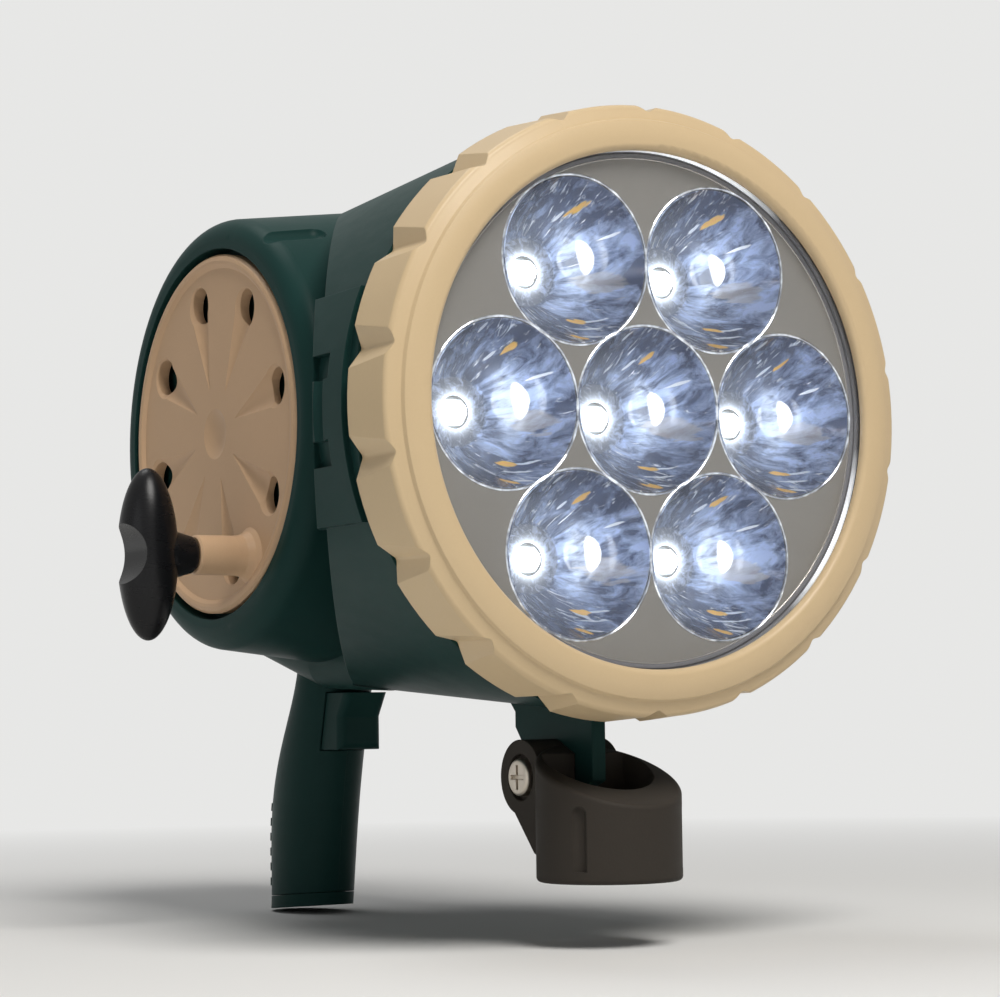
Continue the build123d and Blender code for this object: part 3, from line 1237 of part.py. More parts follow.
def make_bolt():
    """Pivot screw: domed head on the crank side, shank through both cheeks and the fin."""
    seat = -CLEVIS_HALF + HEAD_POCKET_DEPTH
    head = cyl_x(BOLT_HEAD_R, seat - BOLT_HEAD_T, seat, PIVOT_Y, PIVOT_Z)
    head = fillet([e for e in head.edges().filter_by(GeomType.CIRCLE) if e.center().X < seat - 1], 1.1)
    slot_x = (seat - BOLT_HEAD_T - 1, seat - BOLT_HEAD_T + 1.1)
    slot = box(*slot_x, PIVOT_Y - 3.4, PIVOT_Y + 3.4, PIVOT_Z - 0.6, PIVOT_Z + 0.6)
    slot = slot + box(*slot_x, PIVOT_Y - 0.6, PIVOT_Y + 0.6, PIVOT_Z - 3.4, PIVOT_Z + 3.4)
    shank = cyl_x(BOLT_R, seat - 0.5, CLEVIS_HALF + 1.2, PIVOT_Y, PIVOT_Z)
    return head + shank - slot


def make_nut():
    """Hexagon nut at the far end of the bracket's screw."""
    x0 = CLEVIS_HALF - NUT_POCKET
    return hex_x(NUT_FLATS, x0, x0 + NUT_T) - cyl_x(BOLT_R + FIT, x0 - 1, x0 + NUT_T + 1, PIVOT_Y, PIVOT_Z)


NODES = {
    "bezel_ring": make_bezel,
    "front_lens": make_lens,
    "lens_gasket": make_gasket,
    "reflector": make_reflector,
    "led_board": make_led_board,
    "led_bases": make_led_bases,
    "led_domes": make_led_domes,
    "heat_sink": make_heat_sink,
    "engine_screws": make_engine_screws,
    "front_shell": make_front_shell,
    "housing_left": lambda: make_housing(-1),
    "housing_right": lambda: make_housing(1),
    "housing_screws": make_split_screws,
    "shell_screws": make_web_screws,
    "grip_insert": make_grip_insert,
    "butt_cap": make_butt_cap,
    "side_cover": make_side_cover,
    "cover_screws": make_cover_screws,
    "trigger": make_trigger,
    "trigger_spring": make_trigger_spring,
    "trigger_switch": make_trigger_switch,
    "crank_disc": make_crank_disc,
    "crank_shaft": make_crank_shaft,
    "shaft_bushes": make_shaft_bushes,
    "knob": make_knob,
    "knob_pin": make_knob_pin,
    "gear_plate_outer": lambda: make_gear_plate(True),
    "gear_plate_inner": lambda: make_gear_plate(False),
    "gear_spacers": make_gear_spacers,
    "gearbox_screws": make_gearbox_screws,
    "drive_gear": make_drive_gear,
    "stage_gear": make_stage_gear,
    "stage_axle": make_stage_axle,
    "generator_rotor": make_rotor,
    "generator_case": make_generator_case,
    "generator_coils": make_generator_coils,
    "battery_cells": make_cells,
    "cell_contacts": make_cell_contacts,
    "cell_tray": make_cell_tray,
    "control_board": make_control_board,
    "board_parts": make_board_parts,
    "board_screws": make_board_screws,
    "tilt_bracket": make_bracket,
    "pivot_bolt": make_bolt,
    "pivot_nut": make_nut,
}

os.makedirs("parts", exist_ok=True)
for name, make in NODES.items():
    export_step(make(), f"parts/{name}.step")
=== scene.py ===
"""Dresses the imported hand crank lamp: plastics, plated cups, lit emitters, lens, floor and light."""

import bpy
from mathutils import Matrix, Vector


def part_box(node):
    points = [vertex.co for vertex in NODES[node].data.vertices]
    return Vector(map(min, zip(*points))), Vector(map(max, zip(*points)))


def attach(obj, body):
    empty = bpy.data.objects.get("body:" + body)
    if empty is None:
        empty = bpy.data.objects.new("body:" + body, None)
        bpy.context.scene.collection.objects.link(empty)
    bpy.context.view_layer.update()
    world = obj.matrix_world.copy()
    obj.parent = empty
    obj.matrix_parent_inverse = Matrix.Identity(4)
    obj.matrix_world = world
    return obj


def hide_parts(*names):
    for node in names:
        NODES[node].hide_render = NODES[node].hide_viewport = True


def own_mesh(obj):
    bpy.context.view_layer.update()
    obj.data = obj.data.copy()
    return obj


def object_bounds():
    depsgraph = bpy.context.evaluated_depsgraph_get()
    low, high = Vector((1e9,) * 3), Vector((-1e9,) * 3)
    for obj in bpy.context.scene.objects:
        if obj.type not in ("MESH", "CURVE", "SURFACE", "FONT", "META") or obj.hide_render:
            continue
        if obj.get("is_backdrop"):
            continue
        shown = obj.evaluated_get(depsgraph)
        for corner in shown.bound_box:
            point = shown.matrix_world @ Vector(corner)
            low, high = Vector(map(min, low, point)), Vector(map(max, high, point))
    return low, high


bl_info = {
    "name": "Hand Crank Lamp",
    "version": (1, 0, 0),
    "blender": (4, 5, 0),
    "location": "3D View > Sidebar > Lamp",
    "description": "Finishes for a hand crank lamp with seven reflector cups",
    "category": "Object",
}

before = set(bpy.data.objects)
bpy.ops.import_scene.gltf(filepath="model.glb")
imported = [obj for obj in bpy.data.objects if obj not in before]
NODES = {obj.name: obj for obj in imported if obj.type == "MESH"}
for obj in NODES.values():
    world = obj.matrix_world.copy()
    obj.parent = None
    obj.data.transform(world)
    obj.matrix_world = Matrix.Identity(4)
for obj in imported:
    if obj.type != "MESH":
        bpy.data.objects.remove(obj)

from math import atan2, cos, pi, radians, sin, sqrt, tau

import bmesh
import bpy
from bpy.props import FloatProperty, FloatVectorProperty, IntProperty, PointerProperty
from mathutils import Matrix, Vector

BLACK = (0.0, 0.0, 0.0, 1.0)
WHITE = (1.0, 1.0, 1.0, 1.0)

SHARP_ANGLE = radians(40.0)  # edges of added pieces stay sharp above this angle
WELD = 0.00001  # points nearer than this are one
EDGE_STEPS = 200  # segments round the lens
BEAD_SIDES = 6  # sides of the fine beads round the cups

# Painted reflections of the surroundings, as chips in every cup: (degrees round the cup, share of its
# depth), width, height, lean
PAINTED_AMBER_REFLECTIONS = (
    ((64.0, 0.42), 0.06, 0.15, 0.0), ((-61.0, 0.50), 0.08, 0.09, 1.0), ((-80.0, 0.16), 0.08, 0.09, 1.0),
)
PAINTED_WHITE_REFLECTIONS = (
    ((70.0, 0.62), 0.035, 0.11, 0.0), ((101.0, 0.16), 0.035, 0.11, 0.0), ((-54.0, 0.36), 0.14, 0.035, 1.0),
    ((-64.0, 0.28), 0.16, 0.030, 0.9), ((-72.0, 0.10), 0.08, 0.035, 1.0), ((28.0, 0.36), 0.025, 0.16, 0.0),
)
PAINTED_BROWN_REFLECTION = ((-12.0, 0.50), 0.20, 0.30, 0.0)

# Where the lens edge shows painted glare of the emitters' light: direction (x, z) from the middle, and how
# fast it fades
EDGE_GLARES = ((0.22, 0.975, 9.0), (0.88, -0.47, 14.0), (-0.90, -0.43, 30.0))

# The lining of a cup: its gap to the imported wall, in linings, the rings of its floor, and its floor bead
STAND_OFF = 1.6
FLOOR_RINGS = 4
FLOOR_BEAD = 0.8  # of the rim bead

# The way down a cup is 1 where its wall ends. The twisted one turns with depth and differs from cup to cup.
FULL_DEPTH = 0.985
WALL_END = 0.98
TWIST_DOWN = 0.25
TWIST_PER_CUP = 0.4
SHIFT_PER_CUP = 0.7

# Stage, in metres: the floor, where it starts to pale, and the point that the lights face
FLOOR_REACH = 6.0
FLOOR_DROP = 0.0003
PALE_FROM = 0.28
PALE_GROWTH = 1.7
LIGHT_AIM = Vector((0, 0.05, 0.1))


# ---------------------------------------------------------------- shader writing
class Sock:
    """An output socket or a number, with arithmetic that adds Math nodes."""

    def __init__(self, paint, value):
        self.paint, self.value = paint, value

    def _math(self, operation, *others):
        values = [self.value] + [o.value if isinstance(o, Sock) else o for o in others]
        return self.paint.node("ShaderNodeMath", {"operation": operation}, dict(enumerate(values)))

    def __add__(self, other):
        return self._math("ADD", other)

    __radd__ = __add__

    def __sub__(self, other):
        return self._math("SUBTRACT", other)

    def __rsub__(self, other):
        return Sock(self.paint, other)._math("SUBTRACT", self)

    def __mul__(self, other):
        return self._math("MULTIPLY", other)

    def __pow__(self, other):
        return self._math("POWER", other)

    def clamp(self):
        return self._math("MAXIMUM", 0.0)._math("MINIMUM", 1.0)


class Paint:
    """One node material: every node comes from node(), and surface() closes it."""

    def __init__(self, name, owner=None):
        self.holder = owner or bpy.data.materials.new(name)
        self.holder.use_nodes = True
        self.tree = self.holder.node_tree
        self.tree.nodes.clear()
        self.object = None

    def node(self, kind, settings=None, inputs=None, output=0):
        made = self.tree.nodes.new(kind)
        for key, value in (settings or {}).items():
            setattr(made, key, value)
        for key, value in (inputs or {}).items():
            value = value.value if isinstance(value, Sock) else value
            if isinstance(value, bpy.types.NodeSocket):
                self.tree.links.new(value, made.inputs[key])
            elif value is not None:
                made.inputs[key].default_value = value
        return Sock(self, made.outputs[output])

    def place(self):
        """Object coordinates, in metres in the row frame."""
        if self.object is None:
            self.object = self.node("ShaderNodeTexCoord", output="Object")
        return self.object

    def noise(self, per_metre, detail=3.0, roughness=0.5, stretch=(1.0, 1.0, 1.0)):
        spot = self.node("ShaderNodeMapping", {}, {"Vector": self.place(), "Scale": stretch})
        return self.node("ShaderNodeTexNoise", {}, {
            "Vector": spot, "Scale": per_metre, "Detail": detail, "Roughness": roughness,
        })

    def pattern(self, place, scale, detail, roughness, distortion):
        """Noise over any coordinates."""
        return self.node("ShaderNodeTexNoise", {}, {
            "Vector": place, "Scale": scale, "Detail": detail, "Roughness": roughness,
            "Distortion": distortion,
        })

    def cells(self, per_metre, output="Distance"):
        return self.node("ShaderNodeTexVoronoi", {}, {"Vector": self.place(), "Scale": per_metre}, output)

    def blend(self, factor, a, b):
        return self.node("ShaderNodeMix", {"data_type": "RGBA"}, {"Factor": factor, 6: a, 7: b}, 2)

    def shade(self, factor, colour, spread):
        """A colour taken down and up by spread, as factor runs from 0 to 1."""
        low = tuple(c * (1.0 - spread) for c in colour[:3]) + (1.0,)
        high = tuple(min(1.0, c * (1.0 + spread)) for c in colour[:3]) + (1.0,)
        return self.blend(factor, low, high)

    def bump(self, height, strength, distance, base=None):
        return self.node("ShaderNodeBump", {}, {
            "Height": height, "Strength": strength, "Distance": distance, "Normal": base,
        })

    def edges(self, radius):
        """Normals rounded over the sharp edges, as a mould leaves them."""
        return self.node("ShaderNodeBevel", {"samples": 4}, {"Radius": radius})

    def surface(self, **sockets):
        names = {key.replace("_", " "): value for key, value in sockets.items()}
        out = self.node("ShaderNodeBsdfPrincipled", {}, names)
        self.close(out)
        return self.holder

    def close(self, shader, kind="ShaderNodeOutputMaterial"):
        end = self.tree.nodes.new(kind)
        self.tree.links.new(shader.value, end.inputs["Surface"])


def seen_by(paint, *rays):
    """For each kind of ray, a socket that is 1 for rays of that kind."""
    return [paint.node("ShaderNodeLightPath", output=f"Is {ray} Ray") for ray in rays]


def opaque(colour):
    return tuple(colour[:3]) + (1.0,)


def moulded(
    name, colour, rough=0.42, grain=2600.0, depth=0.00002, spread=0.10, edge=0.0005, lacquer=0.0, gloss=0.5,
):
    """Moulded plastic: slow colour drift, handling marks in the gloss, fine grain, soft edges."""
    p = Paint(name)
    drift = p.noise(14.0, 4.0)
    fine = p.noise(grain, 2.0)
    scuff = p.noise(90.0, 6.0, 0.65, (1.0, 1.0, 3.5))
    tint = p.shade(drift * 0.7 + fine * 0.3, colour, spread)
    normal = p.bump(fine, 0.35, depth, p.edges(edge))
    return p.surface(
        Base_Color=tint, Roughness=(scuff - 0.5) * 0.12 + rough, Normal=normal, Coat_Weight=lacquer,
        Coat_Roughness=0.18, IOR=1.46, Specular_IOR_Level=gloss,
    )


def metal(name, colour, rough=0.3, brushed=(1.0, 1.0, 1.0), per_metre=900.0, edge=0.0003):
    """Plated or ground metal with directional scratches and tarnish in patches."""
    p = Paint(name)
    lines = p.noise(per_metre, 3.0, 0.6, brushed)
    patch = p.noise(120.0, 4.0)
    tint = p.shade(patch, colour, 0.16)
    normal = p.bump(lines, 0.25, 0.00003, p.edges(edge))
    return p.surface(Base_Color=tint, Metallic=1.0, Roughness=(lines - 0.5) * 0.25 + rough, Normal=normal)


# ---------------------------------------------------------------- mesh helpers
def finish_piece(name, bm, body, material):
    """Turns a bmesh into a riding piece with one material and soft shading."""
    bmesh.ops.recalc_face_normals(bm, faces=bm.faces)
    mesh = bpy.data.meshes.new(name)
    bm.to_mesh(mesh)
    bm.free()
    piece = bpy.data.objects.new(name, mesh)
    bpy.context.scene.collection.objects.link(piece)
    mesh.materials.append(material)
    mesh.shade_smooth()
    mesh.set_sharp_from_angle(angle=SHARP_ANGLE)
    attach(piece, body)
    return piece


def coat(node, material):
    """Gives a CAD node its finish."""
    slots = NODES[node].data.materials
    slots.clear()
    slots.append(material)


def colour_prop(name, about, value):
    return FloatVectorProperty(
        name=name, description=about, subtype="COLOR", size=3, min=0, max=1, default=value,
    )


def length_prop(name, about, value):
    return FloatProperty(
        name=name, description=about, default=value, min=0.00005, max=1.0, precision=5, unit="LENGTH",
    )


def count_prop(name, about, value, low, high):
    return IntProperty(name=name, description=about, default=value, min=low, max=high)


def level_prop(name, about, value, high):
    return FloatProperty(name=name, description=about, default=value, min=0.0, max=high)


def power_prop(name, about, value):
    return FloatProperty(name=name, description=about, default=value, min=0.0, unit="POWER")


def angle_prop(name, about, degrees):
    return FloatProperty(name=name, description=about, default=radians(degrees), subtype="ANGLE")


# ---------------------------------------------------------------- settings
class LampColours(bpy.types.PropertyGroup):
    """Colours of the lamp's finishes, linear"""

    cream: colour_prop("Bezel cream", "Plastic of the fluted bezel", (0.64, 0.485, 0.29))
    # The disc cream is the bezel's cream made darker and redder: painted shade, as the disc faces away from
    # the light
    disc: colour_prop("Disc cream", "Plastic of the crank disc and its post", (0.60, 0.398, 0.241))
    green: colour_prop("Body green", "Plastic of bell, drum and grip", (0.011, 0.040, 0.036))
    rubber: colour_prop("Grip rubber", "Ribbed strip on the grip", (0.010, 0.030, 0.028))
    black: colour_prop("Knob black", "Plastic of the crank knob", (0.007, 0.007, 0.008))
    grey: colour_prop("Bracket grey", "Plastic of the tilting bracket", (0.044, 0.038, 0.032))
    land: colour_prop("Reflector land", "Satin plating between the cups", (0.30, 0.285, 0.26))
    # The plating colour is also the bright side of the cups' painted reflections
    plating: colour_prop("Cup plating", "Bright plating of the cups", (0.62, 0.74, 1.0))
    light: colour_prop("Emitter light", "Light of the lit emitters", (0.78, 0.88, 1.0))
    zinc: colour_prop("Screw zinc", "Plating of screws, bolt and nut", (0.62, 0.56, 0.48))


class LampSizes(bpy.types.PropertyGroup):
    """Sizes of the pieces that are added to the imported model"""

    cup_pitch: length_prop("Cup pitch", "Distance between neighbouring cup axes", 0.046)
    rim_radius: length_prop("Cup rim", "Radius of a cup at its rim", 0.02315)
    floor_radius: length_prop("Cup floor", "Radius of a cup's floor", 0.0102)
    cup_depth: length_prop("Cup depth", "Depth of a cup from rim to floor", 0.027)
    hole_radius: length_prop("Emitter hole", "Radius of the hole in a cup's floor", 0.0041)
    lining: length_prop("Cup lining", "Thickness of the bright lining in each cup", 0.0003)
    rim_bead: length_prop("Rim bead", "Radius of the bright bead round each cup", 0.00032)
    edge_radius: length_prop("Lens edge", "Radius at which the bright edge of the lens starts", 0.0691)
    trigger_travel: length_prop("Trigger travel", "How far the trigger's spring is pressed", 0.004)
    cup_steps: count_prop("Steps round a cup", "Segments round a cup", 96, 24, 256)
    cup_rings: count_prop("Rings in a cup", "Rings from rim to floor", 24, 6, 64)


class LightSettings(bpy.types.PropertyGroup):
    """How brightly the lamp itself shines, and the painted halo and glints round its light"""

    emitter: level_prop("Emitter", "Brightness of the lit emitters", 11.0, 200.0)
    halo: level_prop("Halo", "Brightness of the glow round an emitter", 2.6, 20.0)
    glint: level_prop("Glints", "Brightness of specks and rim lines", 0.9, 20.0)
    lean: angle_prop("Mirror lean", "How far the mirror faces the opening", 15.5)


class StageSettings(bpy.types.PropertyGroup):
    """Floor, lights and camera"""

    floor: colour_prop("Floor", "Pale floor and background", (0.80, 0.80, 0.79))
    key: power_prop("Key light", "Power of the large soft key light", 22.0)
    fill: power_prop("Fill light", "Power of the soft fill light", 1.2)
    world: level_prop("Room light", "Strength of the even light from all round", 0.13, 10.0)
    azimuth: angle_prop("Camera azimuth", "Turn of the camera to the crank side", -31.41)
    elevation: angle_prop("Camera elevation", "Height of the view above level", -4.01)
    roll: angle_prop("Camera roll", "Roll of the camera", -0.78)
    spot: FloatVectorProperty(
        name="Camera place", description="Where the camera stands", size=3,
        default=(-0.4454, -0.6739, 0.0498), subtype="TRANSLATION", unit="LENGTH",
    )
    lens: FloatProperty(
        name="Focal length", description="Lens length in millimetres on a 36 mm sensor",
        default=104.4, min=20.0, max=300.0,
    )


# ---------------------------------------------------------------- pieces
def land_middle():
    """Centre of the reflector's front face."""
    low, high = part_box("reflector")
    return Vector((0.0, low.y, (low.z + high.z) / 2))


def cup_centres(s):
    """Rim centres of the seven cups."""
    middle = land_middle()
    round_it = [Vector((cos(k * pi / 3), 0.0, sin(k * pi / 3))) * s.cup_pitch for k in range(6)]
    return [middle] + [middle + way for way in round_it]


def cup_radius(s, share):
    """Radius of a cup at a share of its depth: a parabola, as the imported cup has."""
    return sqrt(s.rim_radius ** 2 + (s.floor_radius ** 2 - s.rim_radius ** 2) * share)


def ring(bm, radius, y, bead, steps=120, sides=8):
    """A closed round bead about the Y axis."""
    made = bmesh.ops.create_circle(bm, segments=sides, radius=bead)["verts"]
    edges = [e for e in bm.edges if e.verts[0] in made]
    bmesh.ops.translate(bm, verts=made, vec=(radius, y, 0))
    bmesh.ops.spin(
        bm, geom=[*made, *edges], cent=(0, 0, 0), axis=(0, 1, 0), angle=tau, steps=steps, use_merge=True,
    )


class LAMP_OT_bezel(bpy.types.Operator):
    """Finish the fluted bezel"""

    bl_idname = "lamp.bezel"
    bl_label = "Bezel"

    def execute(self, context):
        c = context.scene.lamp_colours
        coat("bezel_ring", moulded(
            "cream_moulding", c.cream, rough=0.38, grain=1600.0, depth=0.00001, spread=0.06, edge=0.0004,
            lacquer=0.08, gloss=0.35,
        ))
        return {"FINISHED"}


class LAMP_OT_lens(bpy.types.Operator):
    """Clear front lens, its bright edge and its seal"""

    bl_idname = "lamp.lens"
    bl_label = "Lens"

    def execute(self, context):
        c, s, light = context.scene.lamp_colours, context.scene.lamp_sizes, context.scene.lamp_light
        p = Paint("clear_lens")
        dust = ((0.11 - p.cells(500.0)) * 12.0).clamp()
        haze = ((p.noise(45.0, 5.0, 0.6) - 0.52) * 3.0).clamp()
        gloss = p.node("ShaderNodeLayerWeight", {}, {"Blend": 0.28})
        # Dust and haze marks, which also glow as painted glints of the emitters' light
        marks = (dust * haze).clamp()
        glow = p.blend(marks, BLACK, opaque(c.light))
        coat("front_lens", p.surface(
            Base_Color=(0.9, 0.94, 1.0, 1.0), Roughness=marks * 0.3 + 0.03, IOR=1.49,
            Alpha=(marks * 0.5 + gloss * 0.30 + 0.02).clamp(),
            Emission_Color=glow, Emission_Strength=light.glint,
        ))
        coat("lens_gasket", moulded(
            "seal_rubber", (0.11, 0.11, 0.115), rough=0.6, grain=3000.0, spread=0.2, edge=0.0002,
        ))
        self.edge(s, light)
        return {"FINISHED"}

    def edge(self, s, light):
        """Rings at the lens edge: a fine bright line, a grey channel, a dark line of painted shade and a
        bead with painted glare.
        """
        middle = land_middle()
        plating = metal("edge_plating", (0.62, 0.60, 0.57), rough=0.2)
        channel = moulded("edge_channel", (0.22, 0.22, 0.24), rough=0.4, grain=900.0)
        shadow = moulded("line_shadow", (0.04, 0.04, 0.046), rough=0.35, grain=900.0)
        for name, outside, bead, height, finish in (
            ("lens_edge", 0.0, 0.00024, 1.0, plating),
            ("lens_edge_channel", 0.0011, 0.0010, 0.25, channel),
            # A dark ring of painted shade
            ("lens_edge_line", 0.0014, 0.00030, 1.0, shadow),
            # A bead with painted glare
            ("lens_edge_bead", 0.0026, 0.00080, 1.0, self.glare(middle, light)),
        ):
            bm = bmesh.new()
            ring(bm, s.edge_radius + outside, 0.0, bead, steps=EDGE_STEPS)
            bmesh.ops.scale(bm, verts=bm.verts, vec=(1, height, 1))
            bmesh.ops.translate(bm, verts=bm.verts, vec=middle)
            finish_piece(name, bm, "lamp", finish)

    def glare(self, middle, light):
        """Grey edge with painted glare of the emitters' light at its top and at both lower sides."""
        p = Paint("edge_glare")
        way = p.node("ShaderNodeVectorMath", {"operation": "SUBTRACT"}, {0: p.place(), 1: middle})
        way = p.node("ShaderNodeVectorMath", {"operation": "NORMALIZE"}, {0: way})
        caught = []
        for x, z, fade in EDGE_GLARES:
            dot = {"operation": "DOT_PRODUCT"}
            along = p.node("ShaderNodeVectorMath", dot, {0: way, 1: (x, 0.0, z)}, "Value")
            caught.append(((along - 1.0) * fade + 1.0).clamp())
        glare = (sum(caught) * (p.noise(160.0) + 0.4)).clamp()
        tint = p.blend(glare, (0.26, 0.26, 0.28, 1.0), (0.9, 0.92, 0.95, 1.0))
        glow = p.blend(glare, BLACK, (0.86, 0.90, 0.94, 1.0))
        return p.surface(
            Base_Color=tint, Metallic=0.1, Roughness=0.3,
            Emission_Color=glow, Emission_Strength=light.glint,
        )


class LAMP_OT_reflector(bpy.types.Operator):
    """Satin land with seven bright cups"""

    bl_idname = "lamp.reflector"
    bl_label = "Reflector"

    def execute(self, context):
        c, s, light = context.scene.lamp_colours, context.scene.lamp_sizes, context.scene.lamp_light
        coat("reflector", self.land(c))
        mirror = self.mirror(c, light)
        rims, floors = bmesh.new(), bmesh.new()
        for number, centre in enumerate(cup_centres(s)):
            bm = self.cup(s)
            bmesh.ops.translate(bm, verts=bm.verts, vec=centre)
            piece = finish_piece(f"cup_mirror_{number}", bm, "lamp", mirror)
            self.mark(piece.data, centre, s, number)
            self.face(piece.data, centre, s, light)
            self.bead(rims, centre, s.rim_radius, 0.0, s.rim_bead)
            inner, low = s.floor_radius - s.lining, s.cup_depth - s.lining
            self.bead(floors, centre, inner, low, s.rim_bead * FLOOR_BEAD)
        # The rim and floor beads carry painted highlight lines
        edge = self.rim_line(c, light)
        finish_piece("cup_rims", rims, "lamp", edge)
        finish_piece("cup_floor_rings", floors, "lamp", edge)
        return {"FINISHED"}

    def bead(self, into, centre, radius, y, size):
        """Adds a bead at depth y of a cup to the bmesh that gathers them."""
        bm = bmesh.new()
        ring(bm, radius, y, size, sides=BEAD_SIDES)
        bmesh.ops.translate(bm, verts=bm.verts, vec=centre)
        part = bpy.data.meshes.new("bead")
        bm.to_mesh(part)
        bm.free()
        into.from_mesh(part)
        bpy.data.meshes.remove(part)

    def cup(self, s):
        """Bowl: the wall's profile and the floor spun about Y, then given a thickness."""
        bm = bmesh.new()
        shares = [k / s.cup_rings for k in range(s.cup_rings + 1)]
        inset = s.lining * STAND_OFF
        line = [bm.verts.new((cup_radius(s, t) - inset, s.cup_depth * t - inset * t, 0.0)) for t in shares]
        for k in range(1, FLOOR_RINGS + 1):
            radius = s.floor_radius - inset + (s.hole_radius - s.floor_radius + 2 * inset) * k / FLOOR_RINGS
            line.append(bm.verts.new((radius, s.cup_depth - inset, 0.0)))
        edges = [bm.edges.new(pair) for pair in zip(line, line[1:])]
        bmesh.ops.spin(
            bm, geom=[*line, *edges], cent=(0, 0, 0), axis=(0, 1, 0), angle=tau, steps=s.cup_steps,
            use_merge=True,
        )
        bmesh.ops.remove_doubles(bm, verts=bm.verts, dist=WELD)
        bmesh.ops.recalc_face_normals(bm, faces=bm.faces)
        bmesh.ops.solidify(bm, geom=bm.faces[:], thickness=s.lining)
        return bm

    def mark(self, mesh, centre, s, number):
        """Stores where each point lies: its side of the cup, plain and twisted, and its way down."""
        plain = mesh.attributes.new("cup_side", "FLOAT_VECTOR", "POINT").data
        twisted = mesh.attributes.new("cup_twist", "FLOAT_VECTOR", "POINT").data
        for vertex, side, twist in zip(mesh.vertices, plain, twisted):
            way = vertex.co - centre
            down = min(way.y / (s.cup_depth * FULL_DEPTH), 1.0)
            across = sqrt(way.x ** 2 + way.z ** 2)
            if down > WALL_END:
                down = 1.0 + (s.floor_radius - across) / (s.floor_radius - s.hole_radius)
            turn = atan2(way.z, way.x)
            side.vector = (cos(turn), sin(turn), down)
            turn += TWIST_DOWN * down + TWIST_PER_CUP * number
            twist.vector = (cos(turn), sin(turn), down + SHIFT_PER_CUP * number)

    def face(self, mesh, centre, s, light):
        """Turns the wall's normals to an even cone's, so that it mirrors the emitter as one round spot."""
        normals = [Vector(corner.vector) for corner in mesh.corner_normals]
        for face in mesh.polygons:
            place = face.center - centre
            on_floor = sqrt(place.x ** 2 + place.z ** 2) < s.floor_radius - 3 * s.lining
            if on_floor or face.center.y < centre.y + s.lining:
                continue
            for loop in face.loop_indices:
                way = mesh.vertices[mesh.loops[loop].vertex_index].co - centre
                inward = -Vector((way.x, 0.0, way.z)).normalized()
                aim = inward * cos(light.lean) - Vector((0.0, sin(light.lean), 0.0))
                normals[loop] = aim if face.normal.dot(aim) > 0 else -aim
        mesh.normals_split_custom_set(normals)

    def land(self, c):
        """Satin plating, faintly mottled."""
        p = Paint("reflector_land")
        mottle = p.noise(900.0)
        drift = p.noise(22.0)
        tint = p.shade(drift * 0.6 + mottle * 0.4, c.land, 0.12)
        return p.surface(
            Base_Color=tint, Metallic=0.35, Roughness=drift * 0.1 + 0.36,
            Normal=p.bump(mottle, 0.12, 0.00003),
        )

    def rim_line(self, c, light):
        """Bright edge with painted highlights that spark here and there, as emission."""
        p = Paint("rim_line")
        spark = ((p.noise(260.0, 2.0) - 0.42) * 4.0).clamp()
        tint = p.blend(spark, (0.60, 0.64, 0.72, 1.0), (0.97, 0.98, 1.0, 1.0))
        glow = p.blend(spark, BLACK, opaque(c.light))
        return p.surface(
            Base_Color=tint, Metallic=1.0, Roughness=0.12,
            Emission_Color=glow, Emission_Strength=light.glint * 0.5,
        )

    def painted_reflection(self, p, side, at, wide, tall, lean, wobble):
        """A painted reflection of the surroundings, as a chip at (degrees round the cup, share of its
        depth).
        """
        x, z, down = side
        turn = radians(at[0])
        u = z * cos(turn) - x * sin(turn)
        facing = ((x * cos(turn) + z * sin(turn)) * 4.0).clamp()
        v = down - at[1] + u * lean
        v, u = v + wobble * (tall * 1.4), u + wobble * (wide * 1.4)
        u, v = u * (1.0 / wide), v * (1.0 / tall)
        return ((1.0 - u * u - v * v) * 2.5).clamp() * facing

    def mirror(self, c, light):
        """Soft plating under a clear coat, with painted reflections as dark and bright patches, pale streaks
        and chips, painted glint specks, and a painted glow of the emitter.
        """
        p = Paint("cup_mirror")
        spot = p.node("ShaderNodeAttribute", {"attribute_name": "cup_side"}, output="Vector")
        side = [p.node("ShaderNodeSeparateXYZ", {}, {"Vector": spot}, axis) for axis in "XYZ"]
        down = side[2]
        twist = p.node("ShaderNodeAttribute", {"attribute_name": "cup_twist"}, output="Vector")
        long = p.node("ShaderNodeMapping", {}, {"Vector": twist, "Scale": (2.4, 2.4, 1.5)})
        thin = p.node("ShaderNodeMapping", {}, {"Vector": twist, "Scale": (6.0, 6.0, 1.8)})
        patches = p.pattern(long, scale=1.7, detail=6.0, roughness=0.66, distortion=0.5)
        reflection_strokes = p.pattern(thin, scale=2.0, detail=5.0, roughness=0.62, distortion=0.8)
        wobble = (p.pattern(thin, scale=1.6, detail=2.0, roughness=0.6, distortion=0.3) - 0.5) * 1.6
        poles = ((side[1] * side[1] - 0.40) * 2.4).clamp()
        near = (down - 1.0).clamp()
        wall = 1.0 - (near * 12.0).clamp()
        # Painted reflections: dark navy patches for dark surroundings and patches of the plating colour for
        # bright ones, with more dark towards the top and bottom of each cup
        bright_reflection = ((patches - 0.40) * 4.8 - poles * 0.42).clamp()
        tint = p.blend(bright_reflection, (0.05, 0.075, 0.16, 1.0), opaque(c.plating))
        # Pale streaks: painted reflections of bright surroundings, more of them towards the top and bottom;
        # they also make the plating glossier and add to the painted glow
        pale = ((reflection_strokes - 0.66 + poles * 0.09) * 11.0).clamp() * wall
        # White chips add painted reflections of bright surroundings to the pale streaks
        for at, wide, tall, lean in PAINTED_WHITE_REFLECTIONS:
            pale = pale + self.painted_reflection(p, side, at, wide, tall, lean, wobble)
        tint = p.blend(pale.clamp(), tint, (1.0, 0.98, 0.94, 1.0))
